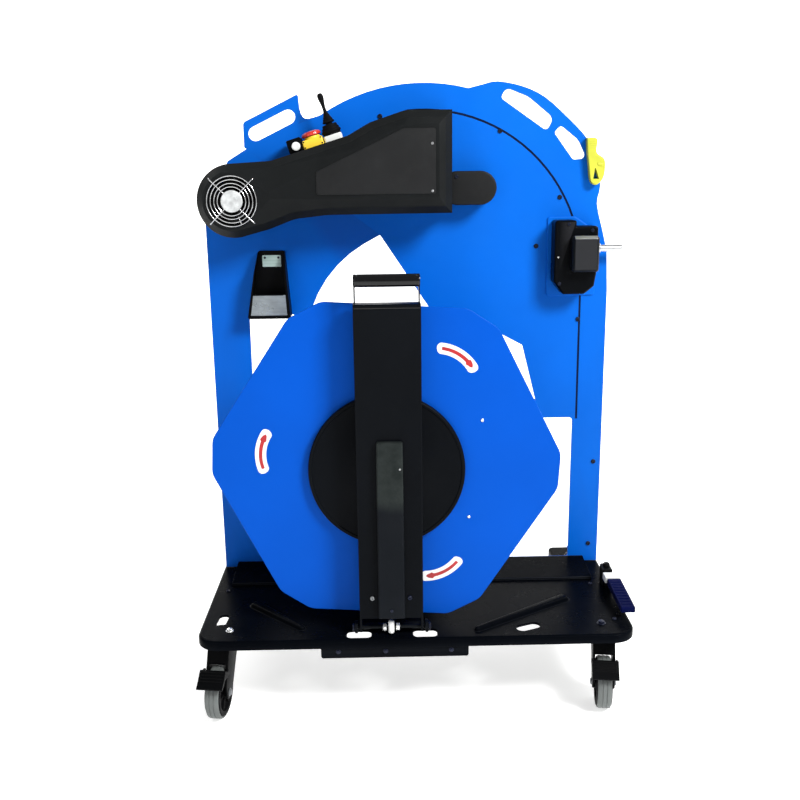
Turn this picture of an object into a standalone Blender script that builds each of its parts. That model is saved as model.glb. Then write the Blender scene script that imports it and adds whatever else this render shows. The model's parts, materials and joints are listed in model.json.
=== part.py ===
"""Mobile pallet strapping machine: an upright sheet-metal arch housing on a four-caster base tray.

The front faces -Y and +Z is up. Lengths are in metres. Shapes are laid out in the base tray's own
frame (x from its middle, y back from its front edge) and moved onto the bottom centre at the end.
"""

import math

import bmesh
import bpy
from mathutils import Matrix, Vector

# Base tray
TRAY_WIDTH = 0.840
TRAY_DEPTH = 0.440
TRAY_TOP = 0.1645
TRAY_SHEET = 0.005
TRAY_FLANGE = 0.018
STEP_FRONT, STEP_TOP = 0.254, 0.1785
# Arch housing
PLATE_FRONT = 0.353
PLATE_SHEET = 0.006
REAR_PLATE = 0.4250
ARCH_X, ARCH_Z, ARCH_R = 0.031, 0.815, 0.382
SIDE_X = 0.418
GROOVE_R = 0.3300
# Drive cover
COVER_FRONT = 0.240
FAN_X, FAN_Z, FAN_END_R = -0.344, 0.972, 0.071
# Coil holder
PIN_Y, PIN_Z = 0.020, 0.180
ARM_LEFT, ARM_RIGHT = -0.108, 0.012
ARM_FRONT, ARM_DEPTH, ARM_TOP = 0.010, 0.036, 0.798
COIL_X, COIL_Z = -0.0525, 0.4915
DISC_R, DISC_TILT = 0.3455, math.radians(-3.5)
HUB_Z = 0.482
DRUM_R = 0.200
# Casters
WHEEL_R, WHEEL_W = 0.050, 0.030
CASTERS = {
    "front_left": (-0.3785, 0.0590, -98.0),
    "front_right": (0.3690, 0.0665, -98.4),
    "rear_left": (-0.361, 0.388, 72.0),
    "rear_right": (0.360, 0.388, 104.0),
}
TRAIL = 0.038
# Shift from the tray's frame onto the bottom centre of the whole machine
CENTRE = Vector((0.0093, 0.2393, 0.0))


# ---------------------------------------------------------------- scene and materials
for old in list(bpy.data.objects):
    bpy.data.objects.remove(old, do_unlink=True)

PARTS = bpy.data.collections.new("strapping_machine")
TOOLS = bpy.data.collections.new("cutters")
bpy.context.scene.collection.children.link(PARTS)
bpy.context.scene.collection.children.link(TOOLS)
TOOLS.hide_render = True


def material(name, rgb, roughness, metallic=0.0):
    mat = bpy.data.materials.new(name)
    mat.use_nodes = True
    shader = mat.node_tree.nodes["Principled BSDF"]
    shader.inputs["Base Color"].default_value = (*rgb, 1.0)
    shader.inputs["Roughness"].default_value = roughness
    shader.inputs["Metallic"].default_value = metallic
    return mat


BLUE = (0.008, 0.14, 0.75)
BLACK = (0.010, 0.011, 0.013)


# ---------------------------------------------------------------- outlines
def arc(x, z, radius, start, end, steps):
    """Points on a circle from start to end, in degrees, counter-clockwise when end is larger."""
    angles = [math.radians(start + (end - start) * i / steps) for i in range(steps + 1)]
    return [(x + radius * math.cos(a), z + radius * math.sin(a)) for a in angles]


def circle(x, z, radius, sides=32):
    return arc(x, z, radius, 0, 360, sides)[:-1]


def rounded(corners, steps=4):
    """An outline whose corners, each (x, z, radius), are replaced by arcs."""
    points = []
    for i, (x, z, radius) in enumerate(corners):
        here = Vector((x, z))
        before = (Vector(corners[i - 1][:2]) - here).normalized()
        after = (Vector(corners[(i + 1) % len(corners)][:2]) - here).normalized()
        half = before.angle(after) / 2
        if radius <= 0 or half > math.radians(88):
            points.append((x, z))
            continue
        centre = here + (before + after).normalized() * radius / math.sin(half)
        first = here + before * radius / math.tan(half) - centre
        last = here + after * radius / math.tan(half) - centre
        turn = first.angle_signed(last)
        for k in range(steps + 1):
            spoke = first.copy()
            spoke.rotate(Matrix.Rotation(-turn * k / steps, 2))
            points.append(tuple(centre + spoke))
    return points


def smooth(points, steps=3):
    """A Catmull-Rom curve through the points, ends included."""
    ends = [points[0]] + list(points) + [points[-1]]
    path = []
    for i in range(1, len(ends) - 2):
        a, b, c, d = (Vector(ends[i + k]) for k in (-1, 0, 1, 2))
        for k in range(steps):
            t = k / steps
            path.append(
                tuple(
                    0.5 * (2 * b + (c - a) * t + (2 * a - 5 * b + 4 * c - d) * t**2)
                    + 0.5 * (3 * b - a - 3 * c + d) * t**3
                )
            )
    return path + [tuple(points[-1])]


def obround(start, end, radius, steps=8):
    """A slot outline: two round ends joined by straight sides."""
    along = math.degrees(math.atan2(end[1] - start[1], end[0] - start[0]))
    return arc(*end, radius, along - 90, along + 90, steps) + arc(
        *start, radius, along + 90, along + 270, steps
    )


def box_outline(x0, z0, x1, z1, radius=0.0, steps=4):
    return rounded([(x0, z0, radius), (x1, z0, radius), (x1, z1, radius), (x0, z1, radius)], steps)


# ---------------------------------------------------------------- solids
def add(name, bm, mat=None):
    """The bmesh as a named part, or as a hidden cutter when it has no material."""
    bmesh.ops.recalc_face_normals(bm, faces=bm.faces)
    mesh = bpy.data.meshes.new(name)
    bm.to_mesh(mesh)
    bm.free()
    obj = bpy.data.objects.new(name, mesh)
    if mat:
        mesh.materials.append(mat)
        PARTS.objects.link(obj)
    else:
        TOOLS.objects.link(obj)
        obj.hide_render = True
        obj.display_type = "WIRE"
    return obj


def lift(point, height, axis):
    """An outline point placed at a height along the extrusion axis."""
    a, b = point
    return {"X": (height, a, b), "Y": (a, height, b), "Z": (a, b, height)}[axis]


def prism(name, outline, axis, low, high, mat=None, front_inset=0.0, front_depth=0.0):
    """An outline extruded from low to high, with an optional sloped border on its low face."""
    bm = bmesh.new()
    face = bm.faces.new([bm.verts.new(lift(p, high, axis)) for p in outline])
    made = bmesh.ops.extrude_face_region(bm, geom=[face])["geom"]
    moved = [v for v in made if isinstance(v, bmesh.types.BMVert)]
    step = Vector(lift((0, 0), low - high, axis))
    bmesh.ops.translate(bm, verts=moved, vec=step)
    bmesh.ops.recalc_face_normals(bm, faces=bm.faces)
    if front_inset:
        level = low + front_depth
        bmesh.ops.translate(bm, verts=moved, vec=step.normalized() * (low - level))
        cap = max((f for f in bm.faces), key=lambda f: f.normal.dot(step.normalized()) * f.calc_area())
        bmesh.ops.inset_region(bm, faces=[cap], thickness=front_inset, use_even_offset=True)
        bmesh.ops.translate(bm, verts=cap.verts, vec=step.normalized() * front_depth)
    return add(name, bm, mat)


def inset(outline, distance):
    """The outline moved inwards by a distance."""
    bm = bmesh.new()
    face = bm.faces.new([bm.verts.new((x, z, 0)) for x, z in outline])
    bm.normal_update()
    bmesh.ops.inset_individual(bm, faces=[face], thickness=distance, use_even_offset=True)
    points = [tuple(v.co.xy) for v in face.verts]
    bm.free()
    return points


def lathe(name, profile, centre, axis, mat=None, sides=28, closed=False):
    """A profile of (radius, height) turned about an axis through centre."""
    bm = bmesh.new()
    verts = [bm.verts.new((r, 0, h)) for r, h in profile]
    edges = [bm.edges.new(pair) for pair in zip(verts, verts[1:])]
    if closed:
        edges.append(bm.edges.new((verts[-1], verts[0])))
    bmesh.ops.spin(bm, geom=verts + edges, cent=(0, 0, 0), axis=(0, 0, 1), angle=math.tau, steps=sides)
    bmesh.ops.remove_doubles(bm, verts=bm.verts, dist=1e-5)
    bmesh.ops.transform(bm, verts=bm.verts, matrix=Vector((0, 0, 1)).rotation_difference(Vector(axis)).to_matrix())
    bmesh.ops.translate(bm, verts=bm.verts, vec=centre)
    return add(name, bm, mat)


def drum(name, centre, axis, radius, low, high, mat=None, sides=28, edge=0.0):
    """A disc or cylinder from low to high along its axis, with optional chamfered rims."""
    if not edge:
        return lathe(name, [(0, low), (radius, low), (radius, high), (0, high)], centre, axis, mat, sides)
    rim = [(radius - edge, low), (radius, low + edge), (radius, high - edge), (radius - edge, high)]
    return lathe(name, [(0, low), *rim, (0, high)], centre, axis, mat, sides)


def block(name, low, high, mat=None):
    outline = box_outline(low[0], low[2], high[0], high[2])
    return prism(name, outline, "Y", low[1], high[1], mat)


def combine(target, other, operation="DIFFERENCE"):
    step = target.modifiers.new(operation.lower(), "BOOLEAN")
    step.operation = operation
    step.solver = "EXACT"
    step.object = other
    return target


def cut(target, *tools):
    for tool in tools:
        combine(target, tool)
    return target


def join(target, *others):
    for other in others:
        combine(target, other, "UNION")
    return target


def bevel(obj, width, segments=1, angle=40):
    step = obj.modifiers.new("edge", "BEVEL")
    step.width = width
    step.segments = segments
    step.limit_method = "ANGLE"
    step.angle_limit = math.radians(angle)
    return obj


def turned(obj, centre, axis, degrees):
    """Turns the mesh about a line through centre."""
    turn = Matrix.Translation(centre) @ Matrix.Rotation(math.radians(degrees), 4, axis)
    obj.data.transform(turn @ Matrix.Translation(-Vector(centre)))
    return obj


def pivot(name, position, parent=None, yaw=0.0):
    """An empty on a joint's axis."""
    empty = bpy.data.objects.new(name, None)
    TOOLS.objects.link(empty)
    empty.location = position
    empty.rotation_euler.z = math.radians(yaw)
    bpy.context.view_layer.update()
    if parent:
        hang(parent, empty)
    return empty


def hang(parent, *children):
    """Parents the children without moving them."""
    for child in children:
        child.parent = parent
        child.matrix_parent_inverse = parent.matrix_world.inverted()
    bpy.context.view_layer.update()


# ---------------------------------------------------------------- base
def build_base():
    black = material("base_gloss_black", (0.006, 0.007, 0.010), 0.3)
    half = TRAY_WIDTH / 2
    corners = [(-half, 0, 0.045), (half, 0, 0.045), (half, TRAY_DEPTH, 0.03), (0.322, TRAY_DEPTH, 0.012)]
    corners += [(0.322, 0.384, 0.012), (-0.322, 0.384, 0.012), (-0.322, TRAY_DEPTH, 0.012), (-half, TRAY_DEPTH, 0.03)]
    outline = rounded(corners, 6)
    tray = prism("base_tray", outline, "Z", TRAY_TOP - TRAY_FLANGE, TRAY_TOP, black)
    under = inset(outline, 0.004)
    cut(tray, prism("tray_under", under, "Z", TRAY_TOP - 0.05, TRAY_TOP - TRAY_SHEET))
    slots = {
        "slot_left": box_outline(-0.134, 0.008, -0.087, 0.040, 0.008),
        "slot_right": box_outline(-0.007, 0.008, 0.039, 0.040, 0.008),
        "slot_kidney": obround((0.205, 0.036), (0.228, 0.046), 0.0125),
        "slot_side": obround((-0.383, 0.078), (-0.381, 0.106), 0.0095),
    }
    for name, shape in slots.items():
        cut(tray, prism(name, shape, "Z", TRAY_TOP - 0.03, TRAY_TOP + 0.02))
    bevel(tray, 0.0015)

    lip = rounded([(-0.183, 0.124, 0.004), (0.098, 0.124, 0.004), (0.098, 0.1585, 0), (-0.183, 0.1585, 0)])
    channel = prism("sled_channel", lip, "Y", 0.0045, 0.330, black)
    cut(channel, block("channel_hollow", (-0.178, 0.010, 0.1285), (0.093, 0.400, 0.1700)))
    cut(channel, block("channel_floor_gap", (-0.163, 0.030, 0.1000), (0.078, 0.300, 0.1400)))

    foot = TRAY_TOP + 0.0004
    back = PLATE_FRONT - 0.0006
    step = [(STEP_FRONT, foot, 0), (back, foot, 0), (back, STEP_TOP, 0), (back - 0.004, STEP_TOP, 0.002), (STEP_FRONT, foot + 0.0055, 0.003)]
    prism("chain_guide_box", rounded(step), "X", -0.388, 0.385, black)

    rib_ends = {
        "rib_right": ((0.120, 0.032), (0.305, 0.160)),
        "rib_left": ((-0.222, 0.048), (-0.322, 0.154)),
    }
    for name, (start, end) in rib_ends.items():
        prism(name, obround(start, end, 0.010, 6), "Z", foot + 0.007, foot, black, 0.004, -0.004)


# ---------------------------------------------------------------- arch housing
def window_outlines():
    """Openings that go through both side plates."""
    sweep = arc(0.032, 0.660, 0.252, 111.5, 176, 8)
    upper = [(-0.059, 0.897)] + sweep[1:] + [(-0.185, 0.560), (0.165, 0.560)]
    return {
        "window_upper": upper,
        "window_left": rounded([(-0.337, 0.33, 0.01), (-0.240, 0.33, 0.01), (-0.240, 0.735, 0.008), (-0.337, 0.735, 0.008)]),
        "window_sliver": rounded([(0.180, 0.535, 0.01), (0.273, 0.535, 0.006), (0.241, 0.661, 0.004), (0.180, 0.694, 0.01)]),
        "window_right": rounded([(0.020, 0.176, 0.006), (0.352, 0.176, 0.006), (0.353, 0.500, 0.008), (0.150, 0.500, 0.01)]),
    }


def front_outline():
    left = [(-0.416, 0.166), (-0.418, 0.930), (-0.366, 1.049)]
    tab = rounded(
        [
            (-0.331, 1.071, 0.004),
            (-0.331, 1.124, 0.008),
            (-0.219, 1.178, 0.003),
            (-0.216, 1.137, 0.010),
            (-0.200, 1.129, 0.012),
        ]
    )
    top = arc(ARCH_X, ARCH_Z, ARCH_R, 122.5, 76.0, 12)
    grip = [top[-1], (0.150, 1.192), (0.182, 1.198), (0.233, 1.188), (0.278, 1.167), (0.325, 1.127)]
    grip += [(0.366, 1.085), (0.385, 1.045), (0.396, 0.992), (0.3905, 0.955), (0.404, 0.900), (0.4145, 0.858)]
    right = [(0.418, 0.776), (0.417, 0.166)]
    return left + tab + top[:-1] + smooth(grip, 3) + right


def build_housing():
    blue = material("housing_blue", BLUE, 0.35)
    deep = material("rear_blue", (0.006, 0.10, 0.55), 0.4)
    rail = material("channel_black", BLACK, 0.5)
    steel = material("lance_grey", (0.16, 0.17, 0.18), 0.4, 0.3)

    front = prism("front_plate", front_outline(), "Y", PLATE_FRONT, PLATE_FRONT + PLATE_SHEET, blue)
    for name, shape in window_outlines().items():
        cut(front, prism(name, shape, "Y", PLATE_FRONT - 0.02, PLATE_FRONT + 0.02))
    grips = {
        "grip_left": obround((-0.307, 1.102), (-0.240, 1.134), 0.0145),
        "grip_right": rounded(
            [(0.189, 1.166, 0.006), (0.283, 1.101, 0.008), (0.297, 1.126, 0.014), (0.245, 1.168, 0.05), (0.199, 1.186, 0.012)]
        ),
        "grip_low": rounded(
            [(0.298, 1.098, 0.006), (0.338, 1.044, 0.006), (0.366, 1.046, 0.008), (0.348, 1.083, 0.03), (0.312, 1.112, 0.008)]
        ),
    }
    for name, shape in grips.items():
        cut(front, prism(name, shape, "Y", PLATE_FRONT - 0.02, PLATE_FRONT + 0.02))
    ring = arc(ARCH_X, ARCH_Z, GROOVE_R + 0.0022, 96, 0, 24) + [(ARCH_X + GROOVE_R + 0.0022, 0.497)]
    inner = arc(ARCH_X, ARCH_Z, GROOVE_R - 0.0022, 96, 0, 24) + [(ARCH_X + GROOVE_R - 0.0022, 0.497)]
    cut(front, prism("panel_groove", ring + inner[::-1], "Y", PLATE_FRONT - 0.01, PLATE_FRONT + 0.0035))

    rear = [(-0.409, 0.166), (-0.409, 0.930), (-0.360, 1.035), (-0.215, 1.105)]
    rear += arc(ARCH_X, ARCH_Z, 0.370, 123, 12, 22) + [(0.409, 0.800), (0.409, 0.166)]
    back = prism("rear_plate", rear, "Y", REAR_PLATE, REAR_PLATE + 0.005, deep)
    for name, shape in window_outlines().items():
        cut(back, prism(f"rear_{name}", inset(shape, -0.017), "Y", REAR_PLATE - 0.02, REAR_PLATE + 0.03))

    outer = [(-0.404, 0.168), (-0.404, 0.930), (-0.357, 1.028), (-0.212, 1.096)]
    outer += arc(ARCH_X, ARCH_Z, 0.366, 122, 6, 24) + [(0.402, 0.800), (0.402, 0.168)]
    inner = inset(outer, 0.005)
    floor = min(z for _, z in inner)
    inner = [(x, z - 0.02 if z < floor + 1e-4 else z) for x, z in inner]
    band = prism("arch_band", outer, "Y", PLATE_FRONT + PLATE_SHEET + 0.0004, REAR_PLATE - 0.0004, rail)
    cut(band, prism("band_hollow", inner, "Y", PLATE_FRONT, REAR_PLATE + 0.02))

    chain = arc(ARCH_X, ARCH_Z, 0.3565, 30, 150, 40) + arc(ARCH_X, ARCH_Z, 0.3330, 150, 30, 40)
    lance = prism("chain_lance", chain, "Y", 0.374, 0.410, steel)
    for i in range(14):
        angle = math.radians(34 + 8.6 * i)
        spot = (ARCH_X + 0.3345 * math.cos(angle), 0.360, ARCH_Z + 0.3345 * math.sin(angle))
        cut(lance, drum(f"link_gap_{i}", spot, (0, 1, 0), 0.0045, 0, 0.07, None, 6))
    hang(pivot("lance_axis", (ARCH_X, 0.392, ARCH_Z)), lance)

    centre = (ARCH_X - 0.0505, 0, ARCH_Z + 0.2880)
    teeth = []
    for i in range(14):
        angle = 360 * i / 14
        teeth += arc(centre[0], centre[2], 0.0385, angle - 6, angle + 6, 2)
        teeth += arc(centre[0], centre[2], 0.0330, angle + 10, angle + 16, 1)
    sprocket = prism("drive_sprocket", teeth, "Y", 0.382, 0.402, steel)
    hang(pivot("sprocket_axis", (centre[0], 0.392, centre[2])), sprocket)

    pack = material("battery_black", (0.015, 0.016, 0.018), 0.45)
    shape = box_outline(0.105, 0.735, 0.305, 0.885, 0.012)
    prism("battery_pack", shape, "Y", 0.510, REAR_PLATE + 0.0056, pack, 0.006, -0.006)


# ---------------------------------------------------------------- drive unit
def cover_outline():
    top = [
        (0.084, 0.944, 0),
        (0.084, 1.139, 0),
        (-0.006, 1.139, 0.060),
        (-0.075, 1.1165, 0.040),
        (-0.118, 1.0925, 0.030),
        (-0.268, 1.0472, 0.050),
    ]
    end = arc(FAN_X, FAN_Z, FAN_END_R, 94, 288, 16)
    return rounded(top + [(-0.310, 1.045, 0)], 4) + end + [(-0.275, 0.917), (-0.225, 0.936), (-0.160, 0.943)]


def build_drive():
    black = material("cover_black", (0.028, 0.029, 0.030), 0.42)
    wire = material("guard_chrome", (0.75, 0.76, 0.78), 0.2, 1.0)
    dark = material("fan_black", BLACK, 0.5)
    metal = material("motor_grey", (0.25, 0.26, 0.27), 0.45, 0.6)
    outline = cover_outline()
    back = PLATE_FRONT - 0.0006
    cover = prism("drive_cover", outline, "Y", COVER_FRONT, back, black, 0.014, 0.016)
    hollow = prism("cover_hollow", inset(outline, 0.004), "Y", COVER_FRONT + 0.020, back + 0.02)
    mouth = drum("fan_mouth", (FAN_X, COVER_FRONT - 0.02, FAN_Z), (0, 1, 0), 0.0470, 0, 0.04, None, 36)
    cut(cover, hollow, mouth)
    bevel(cover, 0.0015, 1, 30)

    lid = rounded([(0.064, 0.961, 0.004), (0.064, 1.117, 0.004), (0.000, 1.117, 0.03), (-0.150, 1.066, 0.02), (-0.175, 0.961, 0.02)])
    prism("cover_lid", lid, "Y", COVER_FRONT - 0.0022, COVER_FRONT - 0.0004, black)

    tongue = obround((0.0990, 0.9905), (0.1435, 0.9905), 0.0335, 10)
    tongue = [(max(x, 0.0846), z) for x, z in tongue]
    tongue = [p for i, p in enumerate(tongue) if p != tongue[i - 1]]
    prism("cover_tongue", tongue, "Y", 0.302, back, black, 0.004, 0.004)

    guard = drum("fan_guard", (FAN_X, COVER_FRONT, FAN_Z), (0, 1, 0), 0.0215, -0.0045, -0.0015, wire, 20)
    for i, radius in enumerate((0.0320, 0.0400, 0.0480)):
        section = [(radius - 0.001, -0.0045), (radius + 0.001, -0.0045), (radius + 0.001, -0.002), (radius - 0.001, -0.002)]
        join(guard, lathe(f"guard_ring_{i}", section, (FAN_X, COVER_FRONT, FAN_Z), (0, 1, 0), None, 28, True))
    for i, angle in enumerate((45, 135, 225, 315)):
        spoke = block(f"guard_spoke_{i}", (0.018, COVER_FRONT - 0.0040, -0.0010), (0.0535, COVER_FRONT - 0.0005, 0.0010))
        spoke.data.transform(Matrix.Rotation(math.radians(angle), 4, "Y"))
        spoke.data.transform(Matrix.Translation((FAN_X, 0, FAN_Z)))
        join(guard, spoke)

    rotor = drum("fan_rotor", (FAN_X, 0.2500, FAN_Z), (0, 1, 0), 0.0180, 0, 0.020, dark, 18)
    for i in range(7):
        blade = block(f"fan_blade_{i}", (0.014, 0.2590, -0.009), (0.0430, 0.2605, 0.009))
        turned(blade, (0, 0.2598, 0), "X", 35)
        blade.data.transform(Matrix.Rotation(math.tau * i / 7, 4, "Y"))
        blade.data.transform(Matrix.Translation((FAN_X, 0, FAN_Z)))
        join(rotor, blade)
    hang(pivot("fan_axis", (FAN_X, 0.260, FAN_Z)), rotor)
    drum("drive_motor", (FAN_X, 0.2800, FAN_Z), (0, 1, 0), 0.0480, 0, 0.0715, metal, 24, 0.003)


# ---------------------------------------------------------------- controls
LEAN = 17


def tilt_box(name, centre, size, tilt, mat, edge=0.002):
    half = [s / 2 for s in size]
    obj = block(name, [c - h for c, h in zip(centre, half)], [c + h for c, h in zip(centre, half)], mat)
    turned(obj, centre, "Y", -tilt)
    return bevel(obj, edge) if edge else obj


def build_controls():
    black = material("switch_black", (0.020, 0.020, 0.022), 0.4)
    yellow = material("stop_yellow", (0.95, 0.62, 0.03), 0.4)
    red = material("stop_red", (0.62, 0.02, 0.015), 0.35)
    white = material("button_white", (0.85, 0.86, 0.84), 0.3)
    box = tilt_box("switch_box", (-0.2228, 0.315, 1.0759), (0.029, 0.055, 0.027), LEAN, black)
    cut(box, drum("button_well", (-0.2200, 0.2800, 1.0745), (0, 1, 0), 0.0095, 0, 0.0140, None, 20))
    button = drum("push_button", (-0.2200, 0.2870, 1.0745), (0, -1, 0), 0.0085, 0.0, 0.0065, white, 20, 0.0015)
    hang(pivot("push_button_axis", (-0.2200, 0.287, 1.0745)), button)
    box = tilt_box("stop_box", (-0.1870, 0.315, 1.0815), (0.041, 0.055, 0.017), LEAN, yellow)
    lean = (-math.sin(math.radians(LEAN)), 0, math.cos(math.radians(LEAN)))
    seat = (-0.1870 + 0.0095 * lean[0], 0.315, 1.0815 + 0.0095 * lean[2])
    join(box, drum("stop_collar", seat, lean, 0.0160, -0.0040, 0.0034, None, 24))
    rise = [(0, 0), (0.008, 0), (0.008, 0.0092), (0.0172, 0.0092), (0.0172, 0.0048), (0.0195, 0.0048), (0.0195, 0.0092), (0.0150, 0.0128), (0, 0.0138)]
    stop = lathe("stop_button", rise, seat, lean, red, 24)
    cut(box, drum("stop_well", seat, lean, 0.0095, -0.0070, 0.0200, None, 20))
    hang(pivot("stop_button_axis", seat), stop)

    plate = tilt_box("joystick_base", (-0.1477, 0.315, 1.0908), (0.036, 0.046, 0.012), LEAN, white, 0.0015)
    ball = (-0.1495, 0.315, 1.0966)
    boot = [(0, -0.0020), (0.0172, -0.0020), (0.0172, 0.0040), (0.0195, 0.0080), (0.0182, 0.0115), (0.0165, 0.0135), (0.0165, 0.0160), (0.0140, 0.0210), (0, 0.0210)]
    join(plate, lathe("boot_shell", boot, ball, lean, None, 24))
    socket = [(0, -0.0112), (0.0068, -0.0090), (0.0105, -0.0040), (0.0112, 0), (0.0145, 0.0030), (0.0145, 0.0120), (0.0125, 0.0170), (0.0125, 0.0300), (0, 0.0300)]
    cut(plate, lathe("ball_seat", socket, ball, lean, None, 20))
    grip = [(0, -0.0100), (0.0060, -0.0080), (0.0092, -0.0038), (0.0100, 0), (0.0070, 0.0060), (0.0070, 0.0235), (0.0120, 0.0246)]
    grip += [(0.0118, 0.0266), (0.0085, 0.0340), (0.0060, 0.0400), (0.0042, 0.0455), (0.0034, 0.0500), (0.0034, 0.0600)]
    grip += [(0.0050, 0.0660), (0.0060, 0.0740), (0.0056, 0.0795), (0.0035, 0.0820), (0, 0.0825)]
    stick = lathe("joystick", grip, ball, lean, black, 18)
    hang(pivot("joystick_axis", ball), stick)


# ---------------------------------------------------------------- pocket, crank box, clip
def build_pocket():
    black = material("pocket_black", (0.012, 0.013, 0.014), 0.4)
    steel = material("pocket_steel", (0.52, 0.56, 0.55), 0.35, 0.8)
    back = PLATE_FRONT - 0.0006
    outer = [(-0.335, 0.731, 0.004), (-0.246, 0.731, 0.004), (-0.256, 0.868, 0.003), (-0.311, 0.868, 0.003)]
    pocket = prism("tool_pocket", rounded(outer), "Y", back - 0.040, back, black)
    mouth = rounded([(-0.3290, 0.737, 0.002), (-0.2520, 0.737, 0.002), (-0.2605, 0.900, 0), (-0.3065, 0.900, 0)])
    cut(pocket, prism("pocket_mouth", mouth, "Y", back - 0.060, back - 0.003))
    slope = prism("pocket_slope", [(0.300, 0.900), (0.300, 0.800), (0.345, 0.880), (0.345, 0.900)], "X", -0.40, -0.20)
    cut(pocket, slope)
    front = rounded([(-0.3284, 0.7376, 0.001), (-0.2526, 0.7376, 0.001), (-0.2552, 0.780, 0.001), (-0.3220, 0.780, 0.001)])
    prism("pocket_front", front, "Y", back - 0.0390, back - 0.0370, steel)
    label = material("label_mint", (0.45, 0.62, 0.50), 0.5)
    prism("label_plate", box_outline(-0.3040, 0.8350, -0.2650, 0.8590, 0.002), "Y", back - 0.0050, back - 0.0034, label)


def build_crank_box():
    black = material("crank_black", (0.010, 0.010, 0.012), 0.35)
    steel = material("crank_steel", (0.62, 0.63, 0.65), 0.25, 1.0)
    blue = material("pad_blue", BLUE, 0.35)
    pad = [(0.288, 0.766, 0.006), (0.391, 0.766, 0.006), (0.391, 0.900, 0.006), (0.345, 0.930, 0.006), (0.288, 0.930, 0.006)]
    face = PLATE_FRONT - 0.0004
    prism("crank_pad", rounded(pad), "Y", face - 0.003, face, blue, 0.0015, 0.0015)
    shell = [
        (0.297, 0.800, 0.006),
        (0.316, 0.774, 0.006),
        (0.360, 0.774, 0.006),
        (0.380, 0.790, 0.006),
        (0.3855, 0.825, 0.02),
        (0.3855, 0.912, 0.006),
        (0.341, 0.912, 0.001),
        (0.341, 0.924, 0.004),
        (0.297, 0.924, 0.006),
    ]
    case = prism("crank_housing", rounded(shell), "Y", 0.3060, face - 0.0036, black, 0.003, 0.003)
    cover = box_outline(0.329, 0.821, 0.384, 0.893, 0.006)
    prism("crank_cover", cover, "Y", 0.2800, 0.3056, black, 0.0045, 0.006)
    socket = drum("shaft_socket", (0.370, 0.3250, 0.866), (1, 0, 0), 0.0085, 0, 0.03, None, 20)
    cut(case, socket)
    bore = [(0, 0), (0.0070, 0), (0.0070, 0.0680), (0.0050, 0.0680), (0.0050, 0.0400), (0, 0.0400)]
    shaft = lathe("crank_shaft", bore, (0.3705, 0.3250, 0.866), (1, 0, 0), steel, 20)
    hang(pivot("crank_axis", (0.400, 0.3250, 0.866)), shaft)


def build_clip():
    yellow = material("clip_yellow", (0.85, 0.90, 0.03), 0.45)
    outline = smooth(
        [
            (0.3625, 1.086),
            (0.3830, 1.084),
            (0.3830, 1.058),
            (0.3990, 1.044),
            (0.4010, 1.022),
            (0.3960, 1.003),
            (0.3830, 0.993),
            (0.3720, 1.002),
            (0.3680, 1.030),
            (0.3640, 1.060),
        ],
        3,
    )
    clip = prism("strap_clip", outline, "Y", PLATE_FRONT - 0.0165, PLATE_FRONT - 0.0006, yellow, 0.0025, 0.003)
    hole = rounded([(0.3785, 1.006, 0.001), (0.3890, 1.006, 0.001), (0.3810, 1.028, 0.001)])
    cut(clip, prism("clip_hole", hole, "Y", PLATE_FRONT - 0.03, PLATE_FRONT + 0.01))


# ---------------------------------------------------------------- coil holder
def disc_outline():
    """A hexagon with flat top and bottom edges, its six corners cut off and eased."""
    corners = []
    for i in range(6):
        for side in (-6.0, 6.0):
            angle = math.radians(60 * i + side) + DISC_TILT
            reach = DISC_R * math.cos(math.radians(30)) / math.cos(math.radians(30 - abs(side)))
            corners.append((COIL_X + reach * math.cos(angle), COIL_Z + reach * math.sin(angle), 0.035))
    return rounded(corners, 3)


def build_hinge():
    black = material("hinge_black", BLACK, 0.4)
    steel = material("pin_steel", (0.66, 0.67, 0.69), 0.22, 1.0)
    foot = TRAY_TOP + 0.0004
    mount = block("hinge_mount", (-0.118, 0.0425, foot), (0.022, 0.0600, foot + 0.005), black)
    for i, x in enumerate((-0.1175, 0.0165)):
        lug = rounded([(0.0435, foot, 0), (0.059, foot, 0), (0.059, 0.176, 0.002), (0.028, 0.190, 0.006), (0.0105, 0.190, 0.008), (0.0105, 0.171, 0.006)])
        join(mount, prism(f"lug_{i}", lug, "X", x, x + 0.005))
    cut(mount, drum("lug_bore", (-0.13, PIN_Y, PIN_Z), (1, 0, 0), 0.0056, 0, 0.17, None, 20))
    pin = drum("hinge_pin", (-0.1230, PIN_Y, PIN_Z), (1, 0, 0), 0.0050, 0, 0.1500, steel, 20, 0.001)
    stud = [(0, -0.0135), (0.0030, -0.0135), (0.0030, 0.0150), (0.0040, 0.0160), (0.0040, 0.0190), (0, 0.0195)]
    join(pin, lathe("cross_stud", stud, (-0.0450, PIN_Y, PIN_Z), (0, 0, 1), None, 12))
    for i, x in enumerate((-0.0630, -0.0330)):
        join(pin, drum(f"pin_nut_{i}", (x, PIN_Y, PIN_Z), (1, 0, 0), 0.0080, 0, 0.0060, None, 6))
    return pin


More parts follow.
